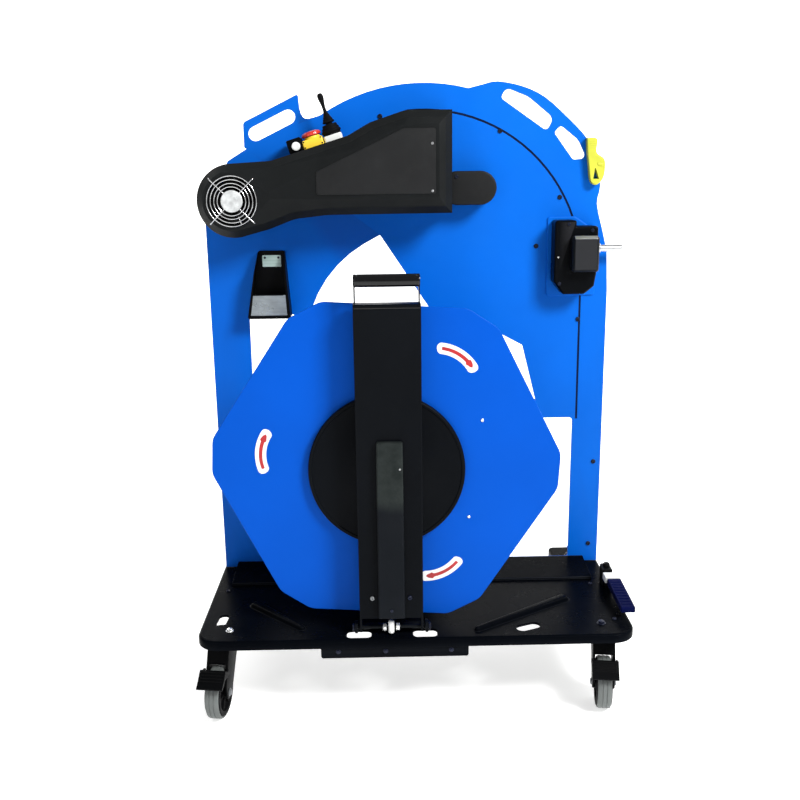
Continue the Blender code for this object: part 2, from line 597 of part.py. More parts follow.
def build_holder():
    black = material("arm_black", (0.012, 0.013, 0.015), 0.33)
    blue = material("disc_blue", BLUE, 0.33)
    steel = material("axle_steel", (0.6, 0.6, 0.62), 0.3, 1.0)
    drum_grey = material("drum_black", BLACK, 0.45)
    fold = pivot("fold_axis", ((ARM_LEFT + ARM_RIGHT) / 2, PIN_Y, PIN_Z))
    pin = build_hinge()

    back = ARM_FRONT + ARM_DEPTH
    side = [
        (ARM_FRONT, ARM_TOP, 0.004),
        (ARM_FRONT, 0.171, 0.008),
        (0.0295, 0.171, 0.008),
        (back, 0.240, 0.010),
        (back, ARM_TOP, 0.004),
    ]
    arm = prism("holder_arm", rounded(side, 2), "X", ARM_LEFT, ARM_RIGHT, black)
    inside = (ARM_LEFT + 0.004, ARM_RIGHT - 0.004)
    hollow = block("arm_hollow", (inside[0], ARM_FRONT + 0.004, 0.150), (inside[1], 0.100, ARM_TOP - 0.004))
    foot = block("arm_foot_gap", (inside[0], -0.050, 0.140), (inside[1], 0.090, 0.202))
    cut(arm, hollow, foot)
    cut(arm, drum("ear_bore", (-0.13, PIN_Y, PIN_Z), (1, 0, 0), 0.0054, 0, 0.17, None, 16))

    bar_y, bar_z = ARM_FRONT + 0.0140, 0.8385
    handle = drum("pull_handle", (ARM_LEFT + 0.001, bar_y, bar_z), (1, 0, 0), 0.0115, 0, ARM_RIGHT - ARM_LEFT - 0.002, black, 24, 0.001)
    for i, x in enumerate((ARM_LEFT + 0.0015, ARM_RIGHT - 0.0055)):
        join(handle, block(f"handle_leg_{i}", (x, bar_y - 0.006, ARM_TOP + 0.0004), (x + 0.004, bar_y + 0.006, bar_z)))

    strip = [(-0.0725, 0.2060, 0.003), (-0.0225, 0.2060, 0.003), (-0.0235, 0.5500, 0.003), (-0.0715, 0.5500, 0.003)]
    prism("arm_cover_strip", rounded(strip, 3), "Y", ARM_FRONT - 0.012, ARM_FRONT - 0.0004, black, 0.002, 0.002)

    hub_front = back + 0.0004
    hub = drum("hub_plate", (COIL_X, hub_front, HUB_Z), (0, 1, 0), 0.1465, 0, 0.0120, black, 48, 0.0015)
    axle = drum("coil_axle", (COIL_X, hub_front + 0.0124, COIL_Z), (0, 1, 0), 0.0150, 0, 0.1880, steel, 24, 0.001)

    disc_front = hub_front + 0.0145
    disc = prism("coil_disc", disc_outline(), "Y", disc_front, disc_front + 0.005, blue)
    cut(disc, drum("disc_bore", (COIL_X, disc_front - 0.02, COIL_Z), (0, 1, 0), 0.0160, 0, 0.05, None, 20))
    core_front = disc_front + 0.0054
    shell = [(0.0165, 0), (DRUM_R, 0), (DRUM_R, 0.150), (DRUM_R - 0.004, 0.150), (DRUM_R - 0.004, 0.004), (0.034, 0.004), (0.034, 0.156), (0.0165, 0.156)]
    core = lathe("coil_drum", shell, (COIL_X, core_front, COIL_Z), (0, 1, 0), drum_grey, 40, True)
    ring = [(0.155, 0.1504), (0.238, 0.1504), (0.238, 0.1544), (0.155, 0.1544)]
    keeper = lathe("keeper_ring", ring, (COIL_X, core_front, COIL_Z), (0, 1, 0), blue, 40, True)
    for i in range(3):
        bar = block(f"keeper_bar_{i}", (0.0355, core_front + 0.1504, -0.0125), (0.170, core_front + 0.1544, 0.0125))
        bar.data.transform(Matrix.Rotation(math.tau * i / 3, 4, "Y"))
        bar.data.transform(Matrix.Translation((COIL_X, 0, COIL_Z)))
        join(keeper, bar)
    collar = [(0.0350, 0.1566), (0.0350, 0.1504), (0.0450, 0.1504), (0.0450, 0.1566)]
    join(keeper, lathe("keeper_collar", collar, (COIL_X, core_front, COIL_Z), (0, 1, 0), None, 32, True))

    spin = pivot("coil_axis", (COIL_X, disc_front, COIL_Z), fold)
    hang(spin, disc, core, keeper)
    hang(fold, pin, arm, handle, bpy.data.objects["arm_cover_strip"], hub, axle)


# ---------------------------------------------------------------- casters and pedal
def build_caster(name, x, y, yaw, plastic, tyre, core, braked):
    """One swivel caster, modelled at the origin with its trail along +X, then placed by an empty."""
    swivel = pivot(f"{name}_swivel", (0, 0, 0))
    top = TRAY_TOP - TRAY_SHEET - 0.0006
    fork = drum(f"{name}_fork", (0, 0, 0), (0, 0, 1), 0.0270, 0.128, top, plastic, 20)
    side = [(-0.026, 0.134, 0.006), (-0.022, 0.108, 0.012), (TRAIL - 0.014, 0.040, 0.012), (TRAIL + 0.013, 0.036, 0.012), (TRAIL + 0.018, 0.070, 0.02), (0.026, 0.134, 0.006)]
    crown = prism(f"{name}_crown", rounded(side, 3), "Y", -0.0215, 0.0215)
    crown.data.transform(Matrix.Identity(4))
    gap = prism(f"{name}_gap", rounded([(-0.06, 0.0, 0), (0.12, 0.0, 0), (0.12, 0.1035, 0), (-0.06, 0.1035, 0)]), "Y", -0.0165, 0.0165)
    cut(crown, gap)
    join(fork, crown)
    bolt = drum(f"{name}_bolt", (TRAIL, -0.0245, WHEEL_R), (0, 1, 0), 0.0075, 0, 0.0060, None, 8)
    nut = drum(f"{name}_nut", (TRAIL, 0.0185, WHEEL_R), (0, 1, 0), 0.0075, 0, 0.0060, None, 8)
    join(fork, bolt, nut)
    half = WHEEL_W / 2
    tread = [(WHEEL_R - 0.012, -half), (WHEEL_R - 0.003, -half), (WHEEL_R, -half + 0.004), (WHEEL_R, half - 0.004), (WHEEL_R - 0.003, half), (WHEEL_R - 0.012, half)]
    tyre_obj = lathe(f"{name}_tyre", tread, (TRAIL, 0, WHEEL_R), (0, 1, 0), tyre, 28, True)
    hub = [(0, -half), (0.010, -half), (0.012, -half + 0.004), (0.030, -half + 0.005), (WHEEL_R - 0.0124, -half + 0.001)]
    hub += [(r, -h) for r, h in hub[::-1]]
    hub_obj = lathe(f"{name}_hub", hub, (TRAIL, 0, WHEEL_R), (0, 1, 0), core, 16)
    roll = pivot(f"{name}_roll", (TRAIL, 0, WHEEL_R), swivel)
    hang(roll, tyre_obj, hub_obj)
    hang(swivel, fork, crown, gap, bolt, nut)
    if braked:
        lever = [
            (0.0600, 0.1025, 0.002),
            (0.0810, 0.0870, 0.002),
            (0.0930, 0.0825, 0.002),
            (0.0940, 0.0865, 0.001),
            (0.0830, 0.0945, 0.004),
            (0.0640, 0.1120, 0.003),
        ]
        pedal = prism(f"{name}_brake", rounded(lever, 2), "Y", -0.0252, 0.0252, plastic)
        for side, y0 in (("left", 0.0222), ("right", -0.0252)):
            link = obround((0.0460, 0.0970), (0.0700, 0.0990), 0.0055, 4)
            link = prism(f"{name}_brake_{side}", link, "Y", y0, y0 + 0.0030)
            hang(swivel, join(pedal, link) and link)
        pad = pivot(f"{name}_brake_axis", (0.0460, 0, 0.0970), swivel)
        hang(pad, pedal)
    swivel.location = (x, y, 0)
    swivel.rotation_euler.z = math.radians(yaw)
    bpy.context.view_layer.update()


def build_casters():
    plastic = material("caster_black", (0.012, 0.013, 0.014), 0.4)
    tyre = material("tyre_grey", (0.17, 0.18, 0.19), 0.6)
    core = material("wheel_black", (0.02, 0.02, 0.02), 0.5)
    for name, (x, y, yaw) in CASTERS.items():
        build_caster(name, x, y, yaw, plastic, tyre, core, name.startswith("front"))


def build_pedal():
    black = material("pedal_black", BLACK, 0.45)
    navy = material("pedal_navy", (0.006, 0.009, 0.06), 0.55)
    pale = material("pedal_steel", (0.75, 0.76, 0.76), 0.3, 0.6)
    foot = TRAY_TOP + 0.0004
    mount = block("pedal_mount", (0.3990, 0.2080, foot), (0.4190, 0.2440, 0.2060), black)
    bevel(mount, 0.002)
    arm = [(0.2070, 0.1860, 0.002), (0.2070, 0.2010, 0.002), (0.1820, 0.2010, 0.002), (0.1820, 0.1860, 0.002)]
    yoke = prism("pedal_yoke", rounded(arm, 2), "X", 0.3975, 0.4265, pale)
    pad = [(0.1816, 0.1840, 0.002), (0.1816, 0.1980, 0.003), (0.0600, 0.1910, 0.004), (0.0600, 0.1790, 0.002)]
    tread = prism("pedal_pad", rounded(pad, 3), "X", 0.4010, 0.4290, navy)
    bevel(tread, 0.001)
    hang(pivot("pedal_axis", (0.412, 0.2000, 0.1935)), yoke, tread)


build_base()
build_housing()
build_drive()
build_controls()
build_pocket()
build_crank_box()
build_clip()
build_holder()
build_casters()
build_pedal()

for obj in list(bpy.data.objects):
    if obj.parent is None:
        obj.location -= CENTRE
bpy.context.view_layer.update()
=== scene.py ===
"""Looks of the mobile pallet strapping machine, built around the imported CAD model.

Shapes are laid out in the base tray's own frame (x from its middle, y back from its front edge,
z up, metres), and place() moves them into the frame that the CAD model uses.
"""

import json
import math

import bmesh
import bpy
from mathutils import Matrix, Vector
from mathutils.geometry import delaunay_2d_cdt

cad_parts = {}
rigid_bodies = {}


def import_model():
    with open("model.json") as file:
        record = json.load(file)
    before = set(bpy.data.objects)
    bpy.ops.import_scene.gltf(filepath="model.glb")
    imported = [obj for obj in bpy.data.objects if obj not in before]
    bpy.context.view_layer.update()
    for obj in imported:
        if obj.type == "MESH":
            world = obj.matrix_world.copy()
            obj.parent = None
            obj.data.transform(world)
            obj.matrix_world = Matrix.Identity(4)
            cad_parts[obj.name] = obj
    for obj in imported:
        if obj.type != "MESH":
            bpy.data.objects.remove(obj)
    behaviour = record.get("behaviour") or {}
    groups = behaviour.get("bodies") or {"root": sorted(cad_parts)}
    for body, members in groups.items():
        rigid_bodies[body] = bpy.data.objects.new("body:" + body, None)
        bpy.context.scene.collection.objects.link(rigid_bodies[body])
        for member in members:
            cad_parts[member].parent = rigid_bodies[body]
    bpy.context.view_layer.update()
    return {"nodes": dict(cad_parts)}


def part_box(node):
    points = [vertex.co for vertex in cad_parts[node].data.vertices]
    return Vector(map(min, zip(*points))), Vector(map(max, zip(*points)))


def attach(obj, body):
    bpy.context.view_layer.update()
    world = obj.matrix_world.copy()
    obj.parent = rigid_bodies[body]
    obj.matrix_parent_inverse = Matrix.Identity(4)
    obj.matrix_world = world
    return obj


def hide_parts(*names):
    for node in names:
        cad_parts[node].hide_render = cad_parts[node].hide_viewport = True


for old in list(bpy.data.objects):
    bpy.data.objects.remove(old, do_unlink=True)

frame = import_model()
TRAY_LOW, TRAY_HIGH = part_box("base_tray")
SHIFT = Vector(((TRAY_LOW.x + TRAY_HIGH.x) / 2, TRAY_LOW.y, 0.0))


def node_box(node):
    """A CAD node's lowest and highest corners, in the tray's frame."""
    low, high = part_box(node)
    return low - SHIFT, high - SHIFT


TRAY_TOP = TRAY_HIGH.z
PLATE_FRONT = node_box("front_plate")[0].y
COVER_FRONT = 0.24
FAN_X, FAN_Z = -0.344, 0.972
COIL_X, COIL_Z = -0.0525, 0.4915
RING_X, RING_Z, RING_R = 0.031, 0.815, 0.33
LANCE_R = 0.3475
SEAT_GAP = 0.0006
CRANK_FRONT = 0.306
PIN_Y, PIN_Z = 0.02, 0.18
X_AXIS, Y_AXIS, Z_AXIS = Vector((1, 0, 0)), Vector((0, 1, 0)), Vector((0, 0, 1))


# ---------------------------------------------------------------- materials
class Graph:
    """A material's node tree, with the shader at its end."""

    def __init__(self, name):
        self.mat = bpy.data.materials.new(name)
        self.mat.use_nodes = True
        self.tree = self.mat.node_tree
        self.shader = self.tree.nodes["Principled BSDF"]
        self.coords = self.add("ShaderNodeTexCoord").outputs["Object"]

    def add(self, kind, **settings):
        node = self.tree.nodes.new(kind)
        for key, value in settings.items():
            setattr(node, key, value)
        return node

    def link(self, source, target):
        self.tree.links.new(source, target)

    def noise(self, scale, detail=3.0, stretch=None, rough=0.5):
        """Noise from 0 to 1 over the object, stretched along an axis for a brushed look."""
        node = self.add("ShaderNodeTexNoise")
        node.inputs["Scale"].default_value = scale
        node.inputs["Detail"].default_value = detail
        node.inputs["Roughness"].default_value = rough
        source = self.coords
        if stretch:
            mapping = self.add("ShaderNodeMapping")
            mapping.inputs["Scale"].default_value = stretch
            self.link(self.coords, mapping.inputs["Vector"])
            source = mapping.outputs["Vector"]
        self.link(source, node.inputs["Vector"])
        return node.outputs["Fac"]

    def spread(self, value, low, high, start=0.3, end=0.7):
        node = self.add("ShaderNodeMapRange")
        node.inputs["From Min"].default_value = start
        node.inputs["From Max"].default_value = end
        node.inputs["To Min"].default_value = low
        node.inputs["To Max"].default_value = high
        self.link(value, node.inputs["Value"])
        return node.outputs["Result"]

    def blend(self, factor, first, second):
        """Mixes two colours, each an RGB tuple or an output."""
        node = self.add("ShaderNodeMix", data_type="RGBA")
        self.link(factor, node.inputs["Factor"])
        for value, socket in ((first, node.inputs[6]), (second, node.inputs[7])):
            if isinstance(value, tuple):
                socket.default_value = (*value, 1.0)
            else:
                self.link(value, socket)
        return node.outputs[2]

    def bump(self, height, strength, depth, normal=None):
        node = self.add("ShaderNodeBump")
        node.inputs["Strength"].default_value = strength
        node.inputs["Distance"].default_value = depth
        self.link(height, node.inputs["Height"])
        if normal:
            self.link(normal, node.inputs["Normal"])
        return node.outputs["Normal"]


def tone(rgb, factor):
    return tuple(min(1.0, c * factor) for c in rgb)


def surface(name, rgb, rough, vary=0.12, broad=5.0, patch=0.06, grain=0.2, grit=900.0, depth=0.0003, gloss=None,
            dust=0.0, dust_rgb=(0.35, 0.36, 0.36), edge_wear_and_sheen=0.0, edge_wear_and_sheen_rgb=(0.4, 0.4, 0.42), stretch=None, **sockets):
    """A finish with broad colour variation, patchy gloss, fine relief, dust in patches, and convex edges tinted towards
    one colour: partly rubbed wear, partly a painted edge highlight.
    """
    g = Graph(name)
    colour = g.blend(g.spread(g.noise(broad, 4.0), 0, 1), tone(rgb, 1 - vary), tone(rgb, 1 + vary))
    fine = g.noise(grit, 2.0, stretch)
    if stretch:
        colour = g.blend(g.spread(fine, 0, 0.5, 0.35, 0.75), colour, tone(rgb, 1 - 2 * vary))
    if dust:
        colour = g.blend(g.spread(g.noise(23.0, 8.0, rough=0.7), 0, dust, 0.5, 0.8), colour, dust_rgb)
    # Convex edges, found by pointiness, are blended towards one edge colour: partly rubbed wear and, where that colour
    # is lighter, partly a painted highlight along the edges.
    if edge_wear_and_sheen:
        edge = g.spread(g.add("ShaderNodeNewGeometry").outputs["Pointiness"], 0, edge_wear_and_sheen, 0.53, 0.6)
        colour = g.blend(edge, colour, edge_wear_and_sheen_rgb)
    g.link(colour, g.shader.inputs["Base Color"])
    g.link(g.spread(g.noise(11.0, 6.0, rough=0.6), rough - patch, rough + patch), g.shader.inputs["Roughness"])
    normal = g.bump(fine, grain, depth)
    normal = g.bump(g.noise(60.0, 2.0), grain * 0.35, 0.0012, normal)
    g.link(normal, g.shader.inputs["Normal"])
    if gloss is not None:
        sockets["Specular_IOR_Level"] = gloss
    for key, value in sockets.items():
        g.shader.inputs[key.replace("_", " ")].default_value = value
    return g.mat


# Where an edge colour below is lighter than its finish (the disc and the black finishes), the lightened edges are
# partly rubbed wear and partly a painted highlight.
BLUE = surface("blue_powder_coat", (0.0008, 0.118, 0.59), 0.42, 0.1, 3.0, grain=0.22, grit=1100, dust=0.05,
               dust_rgb=(0.02, 0.2, 0.64), edge_wear_and_sheen=0.3, edge_wear_and_sheen_rgb=(0.01, 0.05, 0.3), gloss=0.07)
DISC_BLUE = surface("blue_disc_coat", (0.0003, 0.074, 0.47), 0.4, 0.08, 3.0, grain=0.18, grit=1100, dust=0.03,
                    dust_rgb=(0.01, 0.14, 0.55), edge_wear_and_sheen=0.35, edge_wear_and_sheen_rgb=(0.01, 0.16, 0.62), gloss=0.05)
REAR_BLUE = surface("blue_rear_coat", (0.0008, 0.092, 0.5), 0.46, 0.12, 3.0, grain=0.25, grit=1000, dust=0.08,
                    dust_rgb=(0.03, 0.17, 0.55), gloss=0.08)
BASE_BLACK = surface("base_gloss_black", (0.0014, 0.0019, 0.003), 0.28, 0.3, 4.0, patch=0.07, grain=0.12,
                     grit=700, dust=0.02, dust_rgb=(0.02, 0.025, 0.04), edge_wear_and_sheen=0.3, edge_wear_and_sheen_rgb=(0.045, 0.05, 0.06),
                     gloss=0.008)
ARM_BLACK = surface("arm_satin_black", (0.0026, 0.0033, 0.0046), 0.34, 0.2, 4.0, grain=0.16, grit=900,
                    dust=0.02, dust_rgb=(0.02, 0.022, 0.025), edge_wear_and_sheen=0.3, edge_wear_and_sheen_rgb=(0.02, 0.022, 0.025),
                    gloss=0.035)
COVER_BLACK = surface("cover_grained_plastic", (0.0068, 0.0078, 0.0082), 0.38, 0.3, 4.0, patch=0.08, grain=0.45,
                      grit=650, depth=0.0004, dust=0.1, dust_rgb=(0.03, 0.03, 0.03), gloss=0.1)
LID_BLACK = surface("lid_grained_plastic", (0.0125, 0.013, 0.0136), 0.42, 0.22, 5.0, grain=0.45, grit=650,
                    depth=0.0004, dust=0.1, dust_rgb=(0.05, 0.05, 0.05), gloss=0.12)
SATIN_BLACK = surface("satin_black_moulding", (0.002, 0.0022, 0.0027), 0.4, 0.2, 6.0, grain=0.35, grit=800,
                      dust=0.03, dust_rgb=(0.02, 0.02, 0.02), gloss=0.05)
CRANK_BLACK = surface("crank_gloss_black", (0.0018, 0.0022, 0.003), 0.3, 0.2, 6.0, grain=0.2, grit=800,
                      dust=0.02, dust_rgb=(0.03, 0.03, 0.03), edge_wear_and_sheen=0.3, edge_wear_and_sheen_rgb=(0.05, 0.05, 0.055),
                      gloss=0.05)
CRANK_FACE = surface("crank_cover_black", (0.005, 0.0062, 0.0075), 0.34, 0.2, 9.0, grain=0.2, grit=800,
                     dust=0.05, dust_rgb=(0.05, 0.05, 0.05), edge_wear_and_sheen=0.3, edge_wear_and_sheen_rgb=(0.06, 0.06, 0.065),
                     gloss=0.08)
RUBBER = surface("matt_rubber", (0.0045, 0.0045, 0.005), 0.6, 0.2, 7.0, grain=0.5, grit=500, dust=0.08,
                 dust_rgb=(0.02, 0.02, 0.02), gloss=0.05)
GROOVE_DARK = surface("groove_shadow_black", (0.0015, 0.006, 0.028), 0.6, 0.2, 9.0, grain=0.3, grit=500, dust=0.05,
                      dust_rgb=(0.01, 0.02, 0.05), gloss=0.08)
CHROME = surface("polished_wire", (0.78, 0.79, 0.8), 0.14, 0.05, 20.0, patch=0.05, grain=0.08, grit=600,
                 Metallic=1.0)
PALE_ALU = surface("speckled_aluminium", (0.7, 0.72, 0.72), 0.34, 0.22, 90.0, patch=0.1, grain=0.35,
                   grit=350, Metallic=0.55)
STEEL = surface("brushed_steel", (0.56, 0.57, 0.58), 0.3, 0.1, 12.0, patch=0.08, grain=0.35, grit=60,
                stretch=(0.6, 9.0, 9.0), Metallic=1.0)
POCKET_STEEL = surface("pocket_steel", (0.34, 0.38, 0.4), 0.36, 0.25, 26.0, patch=0.12, grain=0.4, grit=60,
                       stretch=(1.0, 1.0, 9.0), dust=0.25, dust_rgb=(0.08, 0.09, 0.09), Metallic=0.7)
ZINC = surface("bright_zinc", (0.82, 0.83, 0.82), 0.24, 0.08, 60.0, patch=0.08, grain=0.2, grit=500, Metallic=0.75)
DARK_SCREW = surface("dark_screws", (0.004, 0.007, 0.022), 0.38, 0.2, 80.0, grain=0.3, grit=900, Metallic=0.4,
                     gloss=0.4)
CAST_GREY = surface("cast_grey", (0.2, 0.21, 0.22), 0.45, 0.15, 14.0, grain=0.5, grit=420, dust=0.1, Metallic=0.5)
LINK_GREY = surface("link_grey", (0.11, 0.12, 0.13), 0.42, 0.15, 14.0, grain=0.4, grit=500, dust=0.08)
YELLOW = surface("stop_yellow", (0.9, 0.62, 0.035), 0.38, 0.06, 18.0, grain=0.25, grit=700, dust=0.05,
                 dust_rgb=(0.5, 0.3, 0.05))
RED = surface("stop_red", (0.56, 0.03, 0.018), 0.3, 0.1, 30.0, grain=0.15, grit=700, Coat_Weight=0.2)
WHITE = surface("white_moulding", (0.8, 0.81, 0.79), 0.34, 0.04, 20.0, grain=0.2, grit=700, dust=0.08,
                dust_rgb=(0.45, 0.45, 0.42))
CLIP_YELLOW = surface("fluorescent_yellow", (0.5, 0.51, 0.04), 0.42, 0.08, 22.0, grain=0.35, grit=600,
                      dust=0.06, dust_rgb=(0.45, 0.45, 0.05), gloss=0.35)
TYRE_GREY = surface("grey_tyre", (0.13, 0.142, 0.138), 0.58, 0.14, 16.0, grain=0.6, grit=420, dust=0.25,
                    dust_rgb=(0.1, 0.1, 0.095), gloss=0.35)
NAVY = surface("navy_tread", (0.003, 0.005, 0.042), 0.48, 0.2, 14.0, grain=0.45, grit=500, dust=0.05,
               dust_rgb=(0.015, 0.02, 0.05), gloss=0.01)
DECAL_WHITE = surface("decal_white", (0.86, 0.86, 0.85), 0.36, 0.03, 20.0, grain=0.08, grit=900, dust=0.05,
                      dust_rgb=(0.6, 0.6, 0.6))
DECAL_RED = surface("decal_red", (0.42, 0.008, 0.012), 0.36, 0.18, 26.0, grain=0.08, grit=900)


def strip_material():
    """Satin black at the foot of the strip, rubbed to a dull grey-green over its upper part."""
    g = Graph("cover_strip_rubbed")
    height = g.add("ShaderNodeSeparateXYZ")
    g.link(g.coords, height.inputs["Vector"])
    wander = g.add("ShaderNodeMath", operation="MULTIPLY_ADD")
    g.link(g.noise(26.0, 4.0), wander.inputs[0])
    wander.inputs[1].default_value = 0.02
    g.link(height.outputs["Z"], wander.inputs[2])
    upper = g.spread(wander.outputs["Value"], 0, 1, 0.425, 0.452)
    rubbed = g.blend(g.spread(g.noise(34.0, 7.0, rough=0.7), 0, 1, 0.35, 0.7), (0.012, 0.0155, 0.015),
            (0.024, 0.029, 0.028))
    lower = g.blend(g.spread(g.noise(8.0, 3.0), 0, 1), (0.0045, 0.0058, 0.008), (0.007, 0.0085, 0.011))
    g.link(g.blend(upper, lower, rubbed), g.shader.inputs["Base Color"])
    g.link(g.spread(g.noise(19.0, 6.0), 0.34, 0.5), g.shader.inputs["Roughness"])
    g.link(g.bump(g.noise(700.0, 2.0), 0.25, 0.0003), g.shader.inputs["Normal"])
    g.shader.inputs["Specular IOR Level"].default_value = 0.05
    return g.mat


def label_material():
    """Pale mint lacquer with faint even bands, and no lettering."""
    g = Graph("mint_label")
    bands = g.add("ShaderNodeTexWave", bands_direction="Z")
    bands.inputs["Scale"].default_value = 45.0
    bands.inputs["Distortion"].default_value = 0.6
    g.link(g.coords, bands.inputs["Vector"])
    ground = g.blend(g.spread(g.noise(40.0, 3.0), 0, 1), (0.37, 0.51, 0.47), (0.46, 0.59, 0.56))
    g.link(g.blend(g.spread(bands.outputs["Fac"], 0, 0.35, 0.75, 0.95), ground, (0.2, 0.34, 0.28)),
            g.shader.inputs["Base Color"])
    g.link(g.spread(g.noise(30.0, 3.0), 0.32, 0.46), g.shader.inputs["Roughness"])
    return g.mat


HANDLE_BLACK = surface("handle_gloss_black", (0.0022, 0.0024, 0.003), 0.15, 0.2, 8.0, patch=0.03, grain=0.05,
                       grit=700, gloss=0.35)
STRIP = strip_material()
MINT = label_material()


# ---------------------------------------------------------------- outlines
def metres(*rows):
    """Rows of millimetres as rows of metres."""
    return [tuple(value / 1000 for value in row) for row in rows]


def arc(x, z, radius, start, end, steps):
    angles = [math.radians(start + (end - start) * i / steps) for i in range(steps + 1)]
    return [(x + radius * math.cos(a), z + radius * math.sin(a)) for a in angles]


def rounded(corners, steps=6):
    """An outline whose corners, each (x, z, radius), are replaced by arcs."""
    points = []
    for i, (x, z, radius) in enumerate(corners):
        here = Vector((x, z))
        before = (Vector(corners[i - 1][:2]) - here).normalized()
        after = (Vector(corners[(i + 1) % len(corners)][:2]) - here).normalized()
        half = before.angle(after) / 2
        if radius <= 0 or half > math.radians(88):
            points.append((x, z))
            continue
        centre = here + (before + after).normalized() * radius / math.sin(half)
        first = here + before * radius / math.tan(half) - centre
        last = here + after * radius / math.tan(half) - centre
        turn = first.angle_signed(last)
        for k in range(steps + 1):
            spoke = first.copy()
            spoke.rotate(Matrix.Rotation(-turn * k / steps, 2))
            points.append(tuple(centre + spoke))
    return points


def smooth(points, steps=6):
    """A Catmull-Rom curve through the points, ends included."""
    ends = [points[0]] + list(points) + [points[-1]]
    path = []
    for i in range(1, len(ends) - 2):
        a, b, c, d = (Vector(ends[i + k]) for k in (-1, 0, 1, 2))
        for k in range(steps):
            t = k / steps
            path.append(0.5 * (2 * b + (c - a) * t + (2 * a - 5 * b + 4 * c - d) * t**2 + (3 * b - a - 3 * c + d) * t**3))
    return [tuple(p) for p in path] + [tuple(points[-1])]


def obround(start, end, radius, steps=12):
    along = math.degrees(math.atan2(end[1] - start[1], end[0] - start[0]))
    return arc(*end, radius, along - 90, along + 90, steps) + arc(*start, radius, along + 90, along + 270, steps)


def box_outline(x0, z0, x1, z1, radius=0.0, steps=6):
    return rounded([(x0, z0, radius), (x1, z0, radius), (x1, z1, radius), (x0, z1, radius)], steps)


def shrunk(outline, distance):
    """The outline moved inwards, corner by corner."""
    count = len(outline)
    area = sum(outline[i][0] * outline[(i + 1) % count][1] - outline[(i + 1) % count][0] * outline[i][1] for i in range(count))
    side = 1 if area > 0 else -1
    moved = []
    for i, point in enumerate(outline):
        before = (Vector(point) - Vector(outline[i - 1])).normalized()
        after = (Vector(outline[(i + 1) % count]) - Vector(point)).normalized()
        first, second = Vector((-before.y, before.x)), Vector((-after.y, after.x))
        middle = (first + second).normalized()
        moved.append(tuple(Vector(point) + middle * side * distance / max(0.4, middle.dot(first))))
    return moved


# ---------------------------------------------------------------- mesh building
def lift(point, height, axis):
    a, b = point
    return Vector({"X": (height, a, b), "Y": (a, height, b), "Z": (a, b, height)}[axis])


def loft(bm, rings, matrix=None):
    """Skins closed rings of points, each ring as long as the last, and closes both ends."""
    matrix = matrix or Matrix.Identity(4)
    made = [[bm.verts.new(matrix @ Vector(p)) for p in ring] for ring in rings]
    count = len(made[0])
    for low, high in zip(made, made[1:]):
        for i in range(count):
            j = (i + 1) % count
            bm.faces.new((low[i], low[j], high[j], high[i]))
    bm.faces.new(made[0][::-1])
    bm.faces.new(made[-1])


def slab(bm, outline, axis, low, high, edge_low=0.0, edge_high=0.0, steps=4, matrix=None):
    """An outline between two heights, with rounded rims."""

    def rim(level, reach, inward, order):
        quarter = [math.pi / 2 * k / steps for k in order]
        return [
            [lift(p, level + inward * reach * (1 - math.cos(a)), axis) for p in shrunk(outline,
                    reach * (1 - math.sin(a)))]
            for a in quarter
        ]

    first = rim(low, edge_low, 1, range(steps + 1)) if edge_low else [[lift(p, low, axis) for p in outline]]
    last = rim(high, edge_high, -1, range(steps, -1, -1)) if edge_high else [[lift(p, high, axis) for p in outline]]
    loft(bm, first + last, matrix)


def facing(centre, axis, spin=0.0):
    """A matrix that takes +Z to an axis through centre."""
    turn = Z_AXIS.rotation_difference(Vector(axis)).to_matrix().to_4x4()
    return Matrix.Translation(centre) @ turn @ Matrix.Rotation(spin, 4, "Z")


def mm(*profile):
    """A profile given in millimetres, with its corner counts left as they are."""
    return [(radius / 1000, height / 1000, *corners) for radius, height, *corners in profile]


def revolve(bm, profile, matrix, sides=32):
    """A profile of (radius, height) or (radius, height, corners) turned about +Z; corners makes that ring a polygon."""
    rings = []
    for radius, height, *corners in profile:
        if radius < 1e-6:
            rings.append([bm.verts.new(matrix @ Vector((0, 0, height)))])
            continue
        ring = []
        for i in range(sides):
            angle = math.tau * i / sides
            reach = radius
            if corners:
                part = math.tau / corners[0]
                reach = radius * math.cos(part / 2) / math.cos(angle % part - part / 2)
            ring.append(bm.verts.new(matrix @ Vector((reach * math.cos(angle), reach * math.sin(angle), height))))
        rings.append(ring)
    pairs = list(zip(rings, rings[1:]))
    if len(rings[0]) > 1 and len(rings[-1]) > 1:
        pairs.append((rings[-1], rings[0]))
    for low, high in pairs:
        for i in range(sides):
            j = (i + 1) % sides
            if len(low) == 1:
                bm.faces.new((low[0], high[j], high[i]))
            elif len(high) == 1:
                bm.faces.new((low[i], low[j], high[0]))
            else:
                bm.faces.new((low[i], low[j], high[j], high[i]))


def tube(bm, points, radius, sides=10, closed=False):
    """A round wire along points."""
    points = [Vector(p) for p in points]
    count = len(points)
    rings, normal = [], None
    for i, point in enumerate(points):
        before = points[i - 1] if closed or i else point
        after = points[(i + 1) % count] if closed or i < count - 1 else point
        along = (after - before).normalized()
        if normal is None:
            normal = along.orthogonal().normalized()
        normal = (normal - along * normal.dot(along)).normalized()
        other = along.cross(normal)
        rings.append([bm.verts.new(point + radius * (normal * math.cos(math.tau * k / sides) + other * math.sin(math.tau * k / sides))) for k in range(sides)])
    pairs = list(zip(rings, rings[1:])) + ([(rings[-1], rings[0])] if closed else [])
    for low, high in pairs:
        for i in range(sides):
            j = (i + 1) % sides
            bm.faces.new((low[i], low[j], high[j], high[i]))
    if not closed:
        bm.faces.new(rings[0][::-1])
        bm.faces.new(rings[-1])


